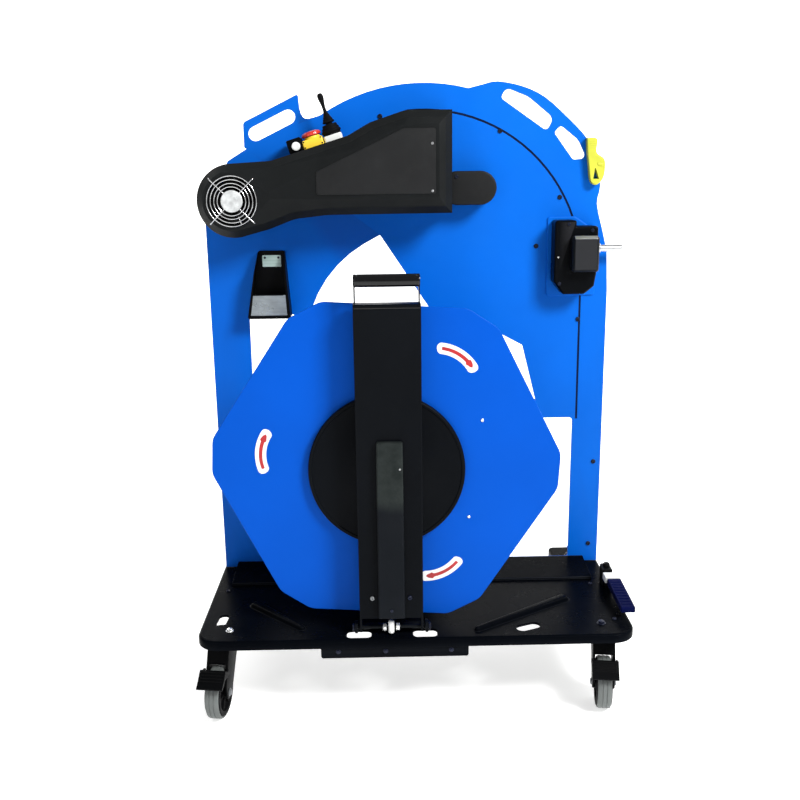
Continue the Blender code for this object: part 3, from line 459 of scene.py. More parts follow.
def ease(obj, width, segments, limit):
    """Rounds a piece's corners and shades its flats flat."""
    obj.data.shade_smooth()
    obj.data.set_sharp_from_angle(angle=limit)
    bevel = obj.modifiers.new("edge", "BEVEL")
    bevel.width, bevel.segments = width, segments
    bevel.limit_method, bevel.angle_limit = "ANGLE", limit
    bevel.miter_outer = "MITER_ARC"
    normals = obj.modifiers.new("normals", "WEIGHTED_NORMAL")
    normals.keep_sharp = True


def place(name, bm, mat, body, slot, nodes=(), edge=0.0, segments=3, limit=32.0, shift=True, matrix=None):
    """The finished piece: smooth-shaded, softly bevelled, and riding on its body."""
    bmesh.ops.recalc_face_normals(bm, faces=bm.faces)
    mesh = bpy.data.meshes.new(name)
    bm.to_mesh(mesh)
    bm.free()
    if matrix:
        mesh.transform(matrix)
    if shift:
        mesh.transform(Matrix.Translation(SHIFT))
    mesh.shade_smooth()
    mesh.set_sharp_from_angle(angle=math.radians(limit))
    mesh.materials.append(mat)
    obj = bpy.data.objects.new(name, mesh)
    bpy.context.scene.collection.objects.link(obj)
    if edge:
        ease(obj, edge, segments, math.radians(limit))
    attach(obj, body)
    if nodes:
        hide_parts(*nodes)
    return obj


def turned(name, profile, spot, sides, mat, body, slot, nodes=(), **style):
    """A piece made of one profile, turned about a spot's +Z."""
    bm = bmesh.new()
    revolve(bm, profile, spot, sides)
    return place(name, bm, mat, body, slot, nodes, **style)


def plate(name, outline, axis, low, high, rims, mat, body, slot, nodes=(), **style):
    """A piece made of one slab; rims are its two edge radii and their steps."""
    bm = bmesh.new()
    slab(bm, outline, axis, low, high, *rims)
    return place(name, bm, mat, body, slot, nodes, **style)


def dress(node, mat, body, slot, edge=0.001, segments=3, limit=32.0):
    """A CAD node's own shape, with its flat triangles merged and its edges eased."""
    bm = bmesh.new()
    bm.from_mesh(frame["nodes"][node].data)
    bmesh.ops.remove_doubles(bm, verts=bm.verts, dist=2e-6)
    bmesh.ops.dissolve_limit(bm, angle_limit=math.radians(0.6), verts=bm.verts, edges=bm.edges)
    return place(f"{node}_finished", bm, mat, body, slot, (node,), edge, segments, limit, shift=False)


def carve(obj, *builders):
    """Cuts shapes out of a piece for good; each builder fills a bmesh in the tray's frame."""
    edges = [(m.width, m.segments, m.angle_limit) for m in obj.modifiers if m.type == "BEVEL"]
    obj.modifiers.clear()
    for build in builders:
        bm = bmesh.new()
        build(bm)
        bmesh.ops.recalc_face_normals(bm, faces=bm.faces)
        mesh = bpy.data.meshes.new("cutter")
        bm.to_mesh(mesh)
        bm.free()
        mesh.transform(Matrix.Translation(SHIFT))
        tool = bpy.data.objects.new("cutter", mesh)
        bpy.context.scene.collection.objects.link(tool)
        step = obj.modifiers.new("cut", "BOOLEAN")
        step.operation, step.solver, step.object = "DIFFERENCE", "EXACT", tool
        bpy.context.view_layer.update()
        obj.data = bpy.data.meshes.new_from_object(obj.evaluated_get(bpy.context.evaluated_depsgraph_get()))
        obj.modifiers.clear()
        bpy.data.objects.remove(tool, do_unlink=True)
    for width, segments, limit in edges:
        ease(obj, width, segments, limit)
    return obj


# ---------------------------------------------------------------- fasteners
def socket_screw(bm, centre, axis, radius, height):
    """A domed head with a hexagon socket."""
    profile = [(0, height * 0.35), (radius * 0.46, height * 0.35, 6), (radius * 0.5, height * 0.93, 6),
            (radius * 0.72, height)]
    profile += [(radius * 0.92, height * 0.72), (radius, height * 0.3), (radius, 0), (0, 0)]
    revolve(bm, profile, facing(centre, axis, centre[0] * 40), 24)


def hex_bolt(bm, centre, axis, radius, height, washer=1.45):
    """A hexagon head with eased corners on a washer."""
    base = height * 0.22
    profile = [(0, height), (radius * 0.8, height), (radius * 0.93, height * 0.93), (radius * 1.1, height * 0.82, 6)]
    profile += [(radius * 1.12, base, 6), (radius * washer * 0.97, base), (radius * washer, base * 0.7),
            (radius * washer, 0), (0, 0)]
    revolve(bm, profile, facing(centre, axis, centre[1] * 30), 36)


def fasteners(name, kind, mat, body, slot, axis, radius, height, centres):
    bm = bmesh.new()
    for centre in centres:
        kind(bm, centre, axis, radius, height)
    return place(name, bm, mat, body, slot)


# ---------------------------------------------------------------- base
def build_base():
    low, high = node_box("base_tray")
    corners = [(low.x, low.y, 0.045), (high.x, low.y, 0.045), (high.x, high.y, 0.03), (0.322, high.y, 0.012)]
    corners += [(0.322, 0.384, 0.012), (-0.322, 0.384, 0.012), (-0.322, high.y, 0.012), (low.x, high.y, 0.03)]
    outline = rounded(corners, 10)
    tray = plate("tray_pan", outline, "Z", low.z, high.z, (0.0, 0.0055, 5), BASE_BLACK, "frame", "base", ("base_tray",),
            edge=0.0006, segments=2)
    slots = (
        box_outline(-0.134, 0.008, -0.087, 0.04, 0.009),
        box_outline(-0.007, 0.008, 0.039, 0.04, 0.009),
        obround((0.205, 0.036), (0.228, 0.046), 0.0125),
        obround((-0.383, 0.078), (-0.381, 0.106), 0.0095),
    )
    cuts = [lambda bm: slab(bm, shrunk(outline, 0.004), "Z", low.z - 0.02, high.z - 0.005)]
    cuts += [lambda bm, s=s: slab(bm, s, "Z", low.z - 0.02, high.z + 0.02) for s in slots]
    carve(tray, *cuts)

    dress("sled_channel", BASE_BLACK, "frame", "base", 0.0012, 2)
    dress("chain_guide_box", BASE_BLACK, "frame", "base", 0.0012, 3, 20)
    ribs = {"rib_right": ((0.118, 0.03), 0.006, (0.303, 0.158), 0.0125), "rib_left": ((-0.222, 0.048), 0.0065,
            (-0.322, 0.154), 0.0115)}
    for name, (start, r0, end, r1) in ribs.items():
        bm, rings = bmesh.new(), []
        along = math.degrees(math.atan2(end[1] - start[1], end[0] - start[0]))
        for size, height in ((1.3, 0.0), (1.12, 0.0009), (1.0, 0.0026), (0.9, 0.0046), (0.74, 0.006), (0.5, 0.0069),
                (0.2, 0.0073)):
            ring = arc(*end, r1 * size, along - 90, along + 90, 12) + arc(*start, r0 * size, along + 90, along + 270,
                    12)
            rings.append([Vector((x, y, TRAY_TOP + 0.0002 + height)) for x, y in ring])
        loft(bm, rings)
        place(f"{name}_pressing", bm, BASE_BLACK, "frame", "base", (name,))

    fasteners("tray_bolt_bright", hex_bolt, ZINC, "frame", "steel", Z_AXIS, 0.0052, 0.005, [(-0.361, 0.046, TRAY_TOP)])
    spots = metres((360, 49), (-361, 388), (360, 388))
    fasteners("tray_bolts", hex_bolt, DARK_SCREW, "frame", "base", Z_AXIS, 0.006, 0.0052,
            [(x, y, TRAY_TOP) for x, y in spots])
    spots = metres((389, 64), (377, 229), (-392, 226), (-395, 412), (395, 412))
    fasteners("tray_screws", socket_screw, DARK_SCREW, "frame", "base", Z_AXIS, 0.0042, 0.003,
            [(x, y, TRAY_TOP) for x, y in spots])
    seam = bmesh.new()
    for x in (-0.15, -0.06, 0.065):
        hex_bolt(seam, (x, 0.0045, 0.138), -Y_AXIS, 0.0034, 0.003)
    place("channel_bolts", seam, DARK_SCREW, "frame", "base")


# ---------------------------------------------------------------- arch housing
def build_housing():
    dress("front_plate", BLUE, "frame", "blue", 0.001, 2, 30)
    low, high = node_box("front_plate")
    valley = metres((-218, 1164), (-216.6, 1150), (-214, 1140), (-210.5, 1134), (-206, 1130.5), (-200.5, 1129.8))
    valley += metres((-190, 1132.2), (-176, 1136.2), (-180, 1129), (-205, 1119), (-225, 1116), (-230.4, 1122.5))
    valley += metres((-226.4, 1127.7), (-225, 1134), (-226.4, 1140.3), (-230.4, 1145.5), (-228, 1160))
    plate("front_plate_valley", valley, "Y", low.y + 0.00015, high.y - 0.00015, (), BLUE, "frame", "blue")
    dress("rear_plate", REAR_BLUE, "frame", "rear", 0.001, 2, 30)
    dress("arch_band", SATIN_BLACK, "frame", "channel", 0.0008, 2, 30)
    spots = metres((-55, 1133), (188, 1102), (313, 969), (266, 870), (358, 715), (402, 399), (397, 207))
    fasteners("front_screws", socket_screw, DARK_SCREW, "frame", "blue", -Y_AXIS, 0.005, 0.0026,
            [(x, PLATE_FRONT, z) for x, z in spots])
    # A navy-black strip laid along the groove around the ring: painted shade in the groove.
    bm = bmesh.new()
    outer, inner = (arc(RING_X, RING_Z, RING_R + side, 95.5, 0, 60) + [(0.361 + side, 0.4975)] for side in (0.0021,
            -0.0021))
    slab(bm, outer + inner[::-1], "Y", PLATE_FRONT + 0.0008, PLATE_FRONT + 0.0034)
    place("panel_groove_painted_shade", bm, GROOVE_DARK, "frame", "channel")
    back = node_box("rear_plate")[1].y
    spots = metres((-380, 900), (-250, 1060), (-75, 1150), (105, 1155), (255, 1090), (360, 960))
    spots += metres((393, 700), (393, 400), (393, 200), (-393, 700), (-393, 400), (-393, 200))
    fasteners("rear_screws", socket_screw, DARK_SCREW, "frame", "rear", Y_AXIS, 0.005, 0.0026,
            [(x, back, z) for x, z in spots])
    bm = bmesh.new()
    for i in range(6):
        z = 0.815 + 0.017 * i
        rings = []
        for x, grow in ((-0.318, 0.15), (-0.314, 0.75), (-0.309, 1.0), (-0.201, 1.0), (-0.196, 0.75), (-0.192, 0.15)):
            hood = [(back + 0.0001, z - 0.0045), (back + 0.0052 * grow, z - 0.004), (back + 0.005 * grow, z - 0.002)]
            hood += [(back + 0.0034 * grow, z + 0.002), (back + 0.0014 * grow, z + 0.005), (back + 0.0001, z + 0.0062)]
            rings.append([Vector((x, *p)) for p in hood])
        loft(bm, rings)
    place("rear_louvres", bm, REAR_BLUE, "frame", "rear")

    dress("chain_lance", LINK_GREY, "lance", "lance", 0.001, 2)
    dress("drive_sprocket", STEEL, "sprocket", "steel", 0.0008, 2)
    bm = bmesh.new()
    for i in range(28):
        angle = math.radians(32 + 4.3 * i)
        spot = (RING_X + LANCE_R * math.cos(angle), 0.0, RING_Z + LANCE_R * math.sin(angle))
        revolve(bm, mm((0, 371.5), (2.2, 371.5), (3, 372.2), (3, 411.8), (2.2, 412.5), (0, 412.5)),
                Matrix.Translation(spot) @ Matrix.Rotation(-math.pi / 2, 4, "X"), 14)
    place("lance_pins", bm, STEEL, "lance", "steel")


def build_battery():
    low, high = node_box("battery_pack")
    shape = box_outline(low.x, low.z, high.x, high.z, 0.012, 8)
    plate("battery_case", shape, "Y", low.y, high.y, (0.002, 0.007, 6), SATIN_BLACK, "frame", "battery",
            ("battery_pack",))
    bm = bmesh.new()
    middle = (low.x + high.x) / 2
    for side in (low.x + 0.0005, high.x - 0.0025):
        for i in range(7):
            z = low.z + 0.04 + 0.0115 * i
            slab(bm, box_outline(low.y + 0.014, z, high.y - 0.014, z + 0.005, 0.0022), "X", side - 0.0016,
                    side + 0.0036, 0.0008, 0.0008, 2)
    place("battery_grip_ribs", bm, RUBBER, "frame", "battery")
    bm = bmesh.new()
    slab(bm, box_outline(middle - 0.03, high.z - 0.03, middle + 0.03, high.z - 0.01, 0.006), "Y", high.y - 0.002,
            high.y + 0.0028, 0, 0.0018)
    for i in range(4):
        slab(bm, box_outline(middle - 0.018 + 0.01 * i, high.z - 0.024, middle - 0.012 + 0.01 * i, high.z - 0.016,
                0.002), "Y",
             high.y + 0.002, high.y + 0.0036, 0, 0.0006, 2)
    place("battery_latch", bm, CAST_GREY, "frame", "battery")
    plate("battery_panel", box_outline(low.x + 0.02, low.z + 0.02, high.x - 0.02, high.z - 0.045, 0.006), "Y",
            high.y - 0.001, high.y + 0.001, (0, 0.0006, 2), LID_BLACK, "frame", "battery")
    fasteners("battery_screws", socket_screw, STEEL, "frame", "battery", Y_AXIS, 0.0032, 0.0018,
              [(x, high.y - 0.0002, z) for x in (low.x + 0.012, high.x - 0.012) for z in (low.z + 0.012,
                      high.z - 0.012)])


# ---------------------------------------------------------------- drive unit
def cover_outline():
    corners = metres((84, 944, 0), (84, 1139, 0), (-6, 1139, 60), (-75, 1116.5, 40), (-118, 1092.5, 30),
            (-268, 1047.2, 50), (-310, 1045, 0))
    corners += [(x, z, 0) for x, z in arc(FAN_X, FAN_Z, 0.071, 94, 288, 64)]
    corners += metres((-275, 917, 80), (-225, 936, 80), (-160, 943, 100))
    return rounded(corners, 12)


def build_cover():
    outline = cover_outline()
    inner = shrunk(outline, 0.014)
    wedge = metres((-270, 975), (58, 975), (58, 1112), (-8, 1112), (-108, 1066), (-270, 990))
    bm = bmesh.new()
    back = [bm.verts.new((x, PLATE_FRONT - SEAT_GAP, z)) for x, z in outline]
    shoulder = [bm.verts.new((x, COVER_FRONT + 0.016, z)) for x, z in outline]
    face = [bm.verts.new((x, COVER_FRONT, z)) for x, z in inner]
    count = len(outline)
    for low, high in ((back, shoulder), (shoulder, face)):
        for i in range(count):
            j = (i + 1) % count
            bm.faces.new((low[i], low[j], high[j], high[i]))
    bm.faces.new(back[::-1])
    points = [Vector(p) for p in inner + wedge]
    ring = [(count + i, count + (i + 1) % len(wedge)) for i in range(len(wedge))]
    flat, _, triangles, source, _, _ = delaunay_2d_cdt(points, ring, [list(range(count))], 1, 1e-7)
    verts = []
    for point, origin in zip(flat, source):
        first = min(origin) if origin else None
        verts.append(face[first] if first is not None and first < count else bm.verts.new((point.x, COVER_FRONT - 0.005,
                point.y)))
    for triangle in triangles:
        bm.faces.new([verts[i] for i in triangle])
    bmesh.ops.recalc_face_normals(bm, faces=bm.faces)
    bmesh.ops.dissolve_limit(bm, angle_limit=math.radians(0.3), verts=bm.verts, edges=bm.edges)
    cover = place("drive_cover_shell", bm, COVER_BLACK, "frame", "cover", ("drive_cover",), 0.0025, 3, 4.0)
    carve(cover, lambda bm: revolve(bm, mm((0, 0), (48.5, 0), (48.5, 45), (0, 45)),
            facing((FAN_X, COVER_FRONT - 0.01, FAN_Z), Y_AXIS), 120))

    lid = rounded(metres((-180, 981.5, 6), (51, 981.5, 5), (51, 1104.5, 5), (-10, 1104.5, 12), (-104, 1060, 20),
            (-180, 1025, 6)))
    plate("drive_cover_lid", lid, "Y", COVER_FRONT - 0.0066, COVER_FRONT - 0.004, (0.0009, 0, 3), LID_BLACK, "frame",
            "cover", ("cover_lid",))
    fasteners("lid_screws", socket_screw, STEEL, "frame", "cover", -Y_AXIS, 0.0026, 0.0014,
              [(0.0445, COVER_FRONT - 0.0066, 1.076), (0.0445, COVER_FRONT - 0.0066, 0.987)])

    tongue = [(max(x, 0.0846), z) for x, z in obround((0.099, 0.9905), (0.1435, 0.9905), 0.0335, 20)]
    tongue = [p for i, p in enumerate(tongue) if p != tongue[i - 1]]
    plate("cover_tongue_shell", tongue, "Y", 0.302, PLATE_FRONT - SEAT_GAP, (0.0035, 0, 5), LID_BLACK, "frame", "cover",
            ("cover_tongue",))
    fasteners("tongue_screw", socket_screw, DARK_SCREW, "frame", "cover", -Y_AXIS, 0.004, 0.0022,
            [(0.096, 0.302, 1.013)])


def build_fan():
    front = COVER_FRONT
    bm = bmesh.new()
    for radius in (0.0275, 0.034, 0.041, 0.048):
        tube(bm, [(FAN_X + x, front - 0.0042, FAN_Z + z) for x, z in arc(0, 0, radius, 0, 360, 72)[:-1]], 0.001, 8,
                True)
    for angle in (45, 135, 225, 315):
        a = math.radians(angle)
        route = metres((16, -2.2), (30, -2.2), (50, -2.2), (56, -1.4), (60, -0.4), (61.5, 3))
        tube(bm, [(FAN_X + r * math.cos(a), front + y, FAN_Z + r * math.sin(a)) for r, y in route], 0.0012, 8)
    a = math.radians(292)
    tube(bm, [(FAN_X + r * math.cos(a), front - 0.003, FAN_Z + r * math.sin(a)) for r in (0.032, 0.04, 0.0485)], 0.0011,
            8)
    place("fan_guard_wires", bm, CHROME, "frame", "guard", ("fan_guard",), limit=50)
    bm = bmesh.new()
    profile = mm((0, 1.2), (19.5, 1.2), (21.2, 2.2), (21.2, 3.8), (20, 4.8), (16.5, 4.8), (16, 4.3))
    profile += mm((11, 4.3), (10.5, 4.8), (6, 5), (0, 5))
    revolve(bm, profile, facing((FAN_X, front, FAN_Z), -Y_AXIS), 48)
    place("fan_guard_centre", bm, PALE_ALU, "frame", "guard")
    turned("fan_bezel", mm((48.7, -1), (48.7, 0.8), (50, 1.6), (52, 1.6), (53.2, 0.6), (53.2, -1)),
            facing((FAN_X, front, FAN_Z), -Y_AXIS), 96, COVER_BLACK, "frame", "cover")
    dress("drive_motor", CAST_GREY, "frame", "motor", 0.0012, 2, 25)

    bm = bmesh.new()
    revolve(bm, mm((0, 250), (10, 250.2), (15, 251.5), (17.8, 254.5), (18, 269), (15, 270), (0, 270)),
            Matrix.Translation((FAN_X, 0, FAN_Z)) @ Matrix.Rotation(-math.pi / 2, 4, "X"), 40)
    for i in range(7):
        rings = []
        for k in range(7):
            t = k / 6
            radius = 0.0165 + 0.0268 * t
            pitch = math.radians(42 - 16 * t)
            sweep = math.tau * i / 7 + 0.25 * t * t
            half = 0.008 + 0.003 * t - 0.0025 * t**4
            ring = []
            for u, v in ((-1, 0), (-0.5, 0.75), (0, 1), (0.5, 0.75), (1, 0), (0.5, -0.2), (0, 0.0), (-0.5, -0.2)):
                across, thick = u * half, 0.0011 * v
                tangent, rise = across * math.cos(pitch) - thick * math.sin(pitch), across * math.sin(pitch) + thick * math.cos(pitch)
                direction = sweep + tangent / radius
                ring.append(Vector((FAN_X + radius * math.cos(direction), 0.26 + rise,
                        FAN_Z + radius * math.sin(direction))))
            rings.append(ring)
        loft(bm, rings)
    place("fan_blades", bm, SATIN_BLACK, "fan", "fan", ("fan_rotor",), limit=50)


# ---------------------------------------------------------------- controls
TILT = math.radians(17)
LEAN = Vector((-math.sin(TILT), 0, math.cos(TILT)))


def build_controls():
    dress("switch_box", SATIN_BLACK, "frame", "switch", 0.002, 3)
    button = (-0.22, 0.287, 1.0745)
    turned("start_button", mm((0, 0), (8.5, 0), (8.5, 4.8), (7.8, 6), (6.2, 6.6), (4, 6.2), (0, 5.8)),
            facing(button, -Y_AXIS), 40, WHITE, "push_button", "white", ("push_button",))

    centre = Vector((-0.187, 0.315, 1.0815))
    seat = centre + 0.0095 * LEAN
    turn = Matrix.Translation(centre) @ Matrix.Rotation(-TILT, 4, "Y")
    bm = bmesh.new()
    slab(bm, box_outline(-0.0205, -0.0275, 0.0205, 0.0275, 0.003, 6), "Z", -0.0085, 0.0085, 0.0012, 0.0022, 3, turn)
    revolve(bm, mm((9.8, 8), (9.8, 12.2), (10.4, 12.9), (15.2, 12.9), (16, 12.2), (16, 8)), turn, 48)
    place("stop_box_shell", bm, YELLOW, "frame", "yellow", ("stop_box",))
    screws = [tuple(turn @ Vector((x, -0.0275, z))) for x in (-0.0175, 0.0175) for z in (-0.0056, 0.0056)]
    fasteners("stop_box_screws", socket_screw, DARK_SCREW, "frame", "switch", -Y_AXIS, 0.0016, 0.0008, screws)
    bm = bmesh.new()
    profile = mm((0, 4.6), (8, 4.6), (8, 9.2), (17.2, 9.2), (17.2, 5), (18.6, 4.7), (19.5, 5.4))
    profile += mm((19.6, 8.6), (19, 10), (16.5, 12.2), (12, 13.6), (6, 14), (0, 14.1))
    revolve(bm, profile, facing(seat, LEAN), 72)
    for v in bm.verts:
        offset = v.co - seat
        out = offset - LEAN * offset.dot(LEAN)
        if out.length > 0.018:
            angle = math.atan2(out.dot(Y_AXIS), out.dot(Y_AXIS.cross(LEAN)))
            v.co -= out.normalized() * 0.0004 * (1 + math.cos(18 * angle))
    place("stop_mushroom", bm, RED, "stop_button", "red", ("stop_button",))

    ball = Vector((-0.1495, 0.315, 1.0966))
    turn = Matrix.Translation((-0.1477, 0.315, 1.0908)) @ Matrix.Rotation(-TILT, 4, "Y")
    bm = bmesh.new()
    slab(bm, box_outline(-0.018, -0.023, 0.018, 0.023, 0.004, 6), "Z", -0.006, 0.006, 0.0012, 0.0016, 3, turn)
    place("joystick_plate", bm, WHITE, "frame", "white", ("joystick_base",))
    bm = bmesh.new()
    profile = mm((14.5, 0.8), (17.2, 0.6), (17.8, 2), (17.2, 3.6), (19.2, 5.8), (19.8, 8), (18.8, 10))
    profile += mm((17.4, 11.2), (17.6, 13.2), (16.8, 15), (15.2, 16.4), (15.4, 18.2), (14.4, 20.6), (13.2, 21.2),
            (12.5, 20.4), (12.5, 17), (14.5, 12))
    revolve(bm, profile, facing(ball, LEAN), 56)
    place("joystick_bellows", bm, RUBBER, "frame", "rubber", limit=60)
    profile = mm((0, -10), (6, -8), (9.2, -3.8), (10, 0), (7.2, 6), (7, 23.2), (10.8, 24), (12, 25), (12.1, 26.6))
    profile += mm((10.8, 28.4), (9.9, 29.2), (10.1, 30.8), (9.2, 32.6), (8.2, 33.4), (8.3, 35), (7.4, 36.8),
            (6.4, 37.6), (6.4, 39.2))
    profile += mm((5.6, 40.8), (4.9, 41.8), (4.9, 43.8), (4, 45.2), (3.5, 49), (3.4, 56), (4, 62))
    profile += mm((5.1, 67), (5.9, 72), (6.1, 76), (5.6, 79.6), (4.2, 81.7), (2.2, 82.5), (0, 82.7))
    turned("joystick_lever", profile, facing(ball, LEAN), 48, RUBBER, "joystick", "rubber", ("joystick",), limit=60)


# ---------------------------------------------------------------- pocket, crank box, clip
def build_fittings():
    dress("tool_pocket", SATIN_BLACK, "frame", "pocket", 0.0012, 3)
    dress("pocket_front", POCKET_STEEL, "frame", "steel", 0.0006, 2)
    dress("label_plate", MINT, "frame", "label", 0.0005, 2)
    low, high = node_box("label_plate")
    fasteners("label_rivets", socket_screw, DARK_SCREW, "frame", "label", -Y_AXIS, 0.0024, 0.0011,
              [(x, low.y, high.z - 0.005) for x in (low.x + 0.0055, high.x - 0.0055)])
    low, high = node_box("pocket_front")
    bm = bmesh.new()
    tube(bm, [(low.x + 0.004, low.y + 0.0008, high.z + 0.0004), (high.x - 0.007, low.y + 0.0008, high.z + 0.0004)],
            0.0016, 12)
    place("pocket_lip", bm, SATIN_BLACK, "frame", "pocket")

    dress("crank_pad", BLUE, "frame", "blue", 0.0008, 2, 20)
    dress("crank_housing", CRANK_BLACK, "frame", "crank", 0.0018, 3, 25)
    dress("crank_cover", CRANK_FACE, "frame", "crank", 0.0026, 4, 25)
    low, high = node_box("crank_cover")
    # A thin brushed-steel strip on the crank cover's top front chamfer. It stands in for the highlight on the cover's
    # rounded top edge: a painted highlight rather than a separate trim.
    bm = bmesh.new()
    strip = [(low.y + 0.0071, high.z + 0.0003), (low.y - 0.0003, high.z - 0.0052), (low.y - 0.0009, high.z - 0.0046),
            (low.y + 0.0066, high.z + 0.001)]
    slab(bm, strip, "X", low.x + 0.0045, high.x - 0.0045)
    place("crank_edge_highlight_strip", bm, STEEL, "frame", "crank", (), 0.0002, 2)
    fasteners("crank_box_screws", socket_screw, DARK_SCREW, "frame", "crank", -Y_AXIS, 0.0038, 0.002,
              [(0.325, CRANK_FRONT, 0.9165), (0.308, CRANK_FRONT, 0.796), (0.373, CRANK_FRONT, 0.9035)])
    fasteners("crank_box_rivet", socket_screw, ZINC, "frame", "steel", -Y_AXIS, 0.0018, 0.001,
            [(0.3045, CRANK_FRONT, 0.85)])

    profile = mm((0, 0.5), (6.4, 0.5), (7, 1.2), (7, 15.8), (9.8, 16.6), (10.2, 17.6), (10.2, 22), (9.6, 23))
    profile += mm((7, 23.6), (7, 47), (6.6, 47.4), (6.6, 49), (7, 49.4), (7, 67.2), (6.3, 68))
    profile += mm((4.9, 68, 6), (4.7, 66, 6), (4.7, 45, 6), (0, 45))
    turned("crank_shaft_tube", profile, facing((0.3705, 0.325, 0.866), X_AXIS), 36, STEEL, "crank_shaft", "steel",
            ("crank_shaft",), limit=25)

    points = metres((362.5, 1086), (383, 1084), (383, 1058), (399, 1044), (401, 1022), (396, 1003), (383, 993),
            (372, 1002), (368, 1030), (364, 1060))
    clip = plate("strap_clip_hook", smooth(points, 8), "Y", PLATE_FRONT - 0.0165, PLATE_FRONT - SEAT_GAP,
            (0.0022, 0.001, 4), CLIP_YELLOW, "frame", "clip", ("strap_clip",), edge=0.0003, segments=2, limit=40)
    hole = rounded(metres((377.5, 1005, 1), (389.5, 1005, 1), (380.8, 1030, 1)))
    carve(clip, lambda bm: slab(bm, hole, "Y", PLATE_FRONT - 0.03, PLATE_FRONT + 0.01))
    bm = bmesh.new()
    for i in range(4):
        z = 1.066 + 0.0045 * i
        slab(bm, box_outline(0.366, z, 0.381, z + 0.0018, 0.0007), "Y", PLATE_FRONT - 0.0174, PLATE_FRONT - 0.015,
                0.0006, 0, 2)
    slab(bm, rounded(metres((385, 1032, 2), (396.5, 1030, 2), (396, 1035.5, 2), (385, 1038, 2))), "Y",
         PLATE_FRONT - 0.0178, PLATE_FRONT - 0.015, 0.0008, 0, 2)
    place("strap_clip_ridges", bm, CLIP_YELLOW, "frame", "clip")


